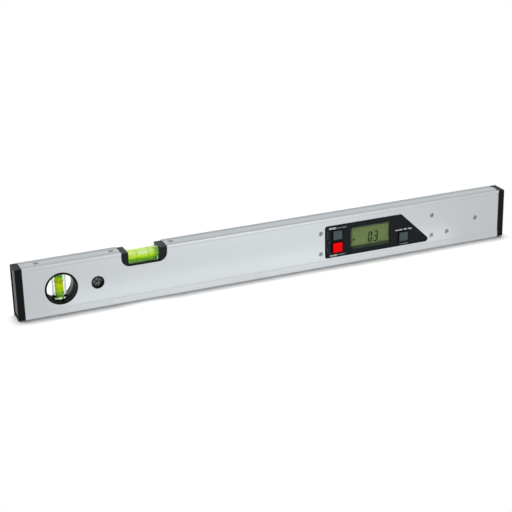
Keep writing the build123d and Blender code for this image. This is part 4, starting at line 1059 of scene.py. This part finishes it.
# Places in millimetres near the object's ends, between which it turns plain white too
LEFT_SHADOW_END = (-305.0, -316.0)
RIGHT_SHADOW_END = (301.0, 313.0)
WORLD_LIGHT = 0.05
LAMPS = {
    "key": {
        "place": (0.0, 1.29, 8.0), "aim": (0.0, 0.0, 0.0), "size": (5.0, 2.20), "watts": 1100.0,
        "glossy": False,
    },
    "front": {
        "place": (0.08, -0.50, 0.12), "aim": (0.0, 0.0, 0.03), "size": (0.40, 0.20), "watts": 1.0,
    },
    "low": {
        "place": (0.0, -0.045, 0.003), "aim": (0.0, 0.0, 0.003), "size": (0.50, 0.004), "watts": 0.0115,
        "diffuse": False,
    },
}


def stage_floor():
    """White floor with the object's shadow. It is plain white further out, and in gloss and glass."""
    mesh = bpy.data.meshes.new("floor")
    corners = [(x * FLOOR_HALF, y * FLOOR_HALF, 0) for x, y in ((-1, -1), (1, -1), (1, 1), (-1, 1))]
    mesh.from_pydata(corners, [], [(0, 1, 2, 3)])
    floor = bpy.data.objects.new("floor", mesh)
    scene.collection.objects.link(floor)
    look = Look("floor_white", Roughness=0.9, Specular_IOR_Level=0.0, Base_Color=FLOOR_TONE)
    rays = look.node("ShaderNodeLightPath").outputs
    lift = look.node("ShaderNodeEmission", {"Color": WHITE})
    look.link(look.math("MULTIPLY", rays["Is Camera Ray"], FLOOR_LIFT), lift.inputs["Strength"])
    near = look.node("ShaderNodeAddShader")
    look.link(look.shader.outputs[0], near.inputs[0])
    look.link(lift.outputs[0], near.inputs[1])
    plain = look.node("ShaderNodeEmission", {"Color": WHITE, "Strength": 1.0})
    distance = look.node("ShaderNodeVectorMath", operation="LENGTH")
    look.link(look.coords(SHADOW_SCALE), distance.inputs[0])
    far = look.span(distance.outputs["Value"], 0.0, 1.0, *SHADOW_END)
    past_left = look.span(look.along("X"), 0.0, 1.0, *LEFT_SHADOW_END)
    past_right = look.span(look.along("X"), 0.0, 1.0, *RIGHT_SHADOW_END)
    past_end = look.math("MAXIMUM", past_left, past_right)
    share = look.math("MULTIPLY", look.math("MAXIMUM", far, past_end), rays["Is Camera Ray"])
    for ray in ("Is Glossy Ray", "Is Transmission Ray"):
        share = look.math("ADD", share, rays[ray], clamp=True)
    both = look.node("ShaderNodeMixShader")
    look.link(share, both.inputs[0])
    look.link(near.outputs[0], both.inputs[1])
    look.link(plain.outputs[0], both.inputs[2])
    look.link(both.outputs[0], look.output.inputs["Surface"])
    mesh.materials.append(look.material)


def studio_world():
    """White surroundings to the eye, in gloss and through glass, with a little light on everything else."""
    world = bpy.data.worlds.new("studio")
    scene.world = world
    world.use_nodes = True
    tree = world.node_tree
    base = tree.nodes["Background"]
    base.inputs["Color"].default_value = WHITE
    path = tree.nodes.new("ShaderNodeLightPath")
    seen = path.outputs["Is Camera Ray"]
    for ray in ("Is Glossy Ray", "Is Transmission Ray"):
        added = tree.nodes.new("ShaderNodeMath")
        added.use_clamp = True
        tree.links.new(seen, added.inputs[0])
        tree.links.new(path.outputs[ray], added.inputs[1])
        seen = added.outputs[0]
    level = tree.nodes.new("ShaderNodeMapRange")
    level.inputs["To Min"].default_value = WORLD_LIGHT
    level.inputs["To Max"].default_value = 1.0
    tree.links.new(seen, level.inputs["Value"])
    tree.links.new(level.outputs["Result"], base.inputs["Strength"])


def softbox(name, place, aim, size, watts, glossy=True, diffuse=True):
    """Rectangular lamp aimed at a point. It can be left out of gloss, or of the light on matt surfaces."""
    lamp = bpy.data.lights.new(name, "AREA")
    lamp.shape = "RECTANGLE"
    lamp.size, lamp.size_y = size
    lamp.energy = watts
    made = bpy.data.objects.new(name, lamp)
    scene.collection.objects.link(made)
    made.location = place
    made.visible_glossy = glossy
    made.visible_diffuse = diffuse
    made.rotation_euler = (Vector(aim) - Vector(place)).to_track_quat("-Z", "Y").to_euler()


# Camera, fitted to the photograph's edges: angles in degrees, clip in metres

CAMERA_AZIMUTH, CAMERA_ELEVATION, CAMERA_ROLL = -22.1766, 21.3421, -1.3329
CAMERA_TARGET, CAMERA_DISTANCE = (-20.814, 0.0, 24.44), 1615.874
CAMERA_LENS, CAMERA_SENSOR = 98.0, 36.0
CAMERA_CLIP = (0.01, 100.0)


def photo_camera():
    """Camera that looks at a target from a distance, turned by its roll."""
    data = bpy.data.cameras.new("camera")
    data.sensor_width = CAMERA_SENSOR
    data.lens = CAMERA_LENS
    data.clip_start, data.clip_end = CAMERA_CLIP
    made = bpy.data.objects.new("camera", data)
    scene.collection.objects.link(made)
    azimuth, elevation = math.radians(CAMERA_AZIMUTH), math.radians(CAMERA_ELEVATION)
    roll = math.radians(CAMERA_ROLL)
    level = math.cos(elevation)
    back = Vector((math.sin(azimuth) * level, -math.cos(azimuth) * level, math.sin(elevation)))
    right = Vector((math.cos(azimuth), math.sin(azimuth), 0.0))
    up = back.cross(right)
    across = right * math.cos(roll) + up * math.sin(roll)
    upward = up * math.cos(roll) - right * math.sin(roll)
    turn = Matrix((across, upward, back)).transposed().to_4x4()
    eye = Vector(CAMERA_TARGET) * MM + back * (CAMERA_DISTANCE * MM)
    made.matrix_world = Matrix.Translation(eye) @ turn
    scene.camera = made


stage_floor()
studio_world()
for lamp_name, lamp in LAMPS.items():
    softbox(lamp_name, **lamp)
photo_camera()
scene.view_settings.view_transform = "Standard"
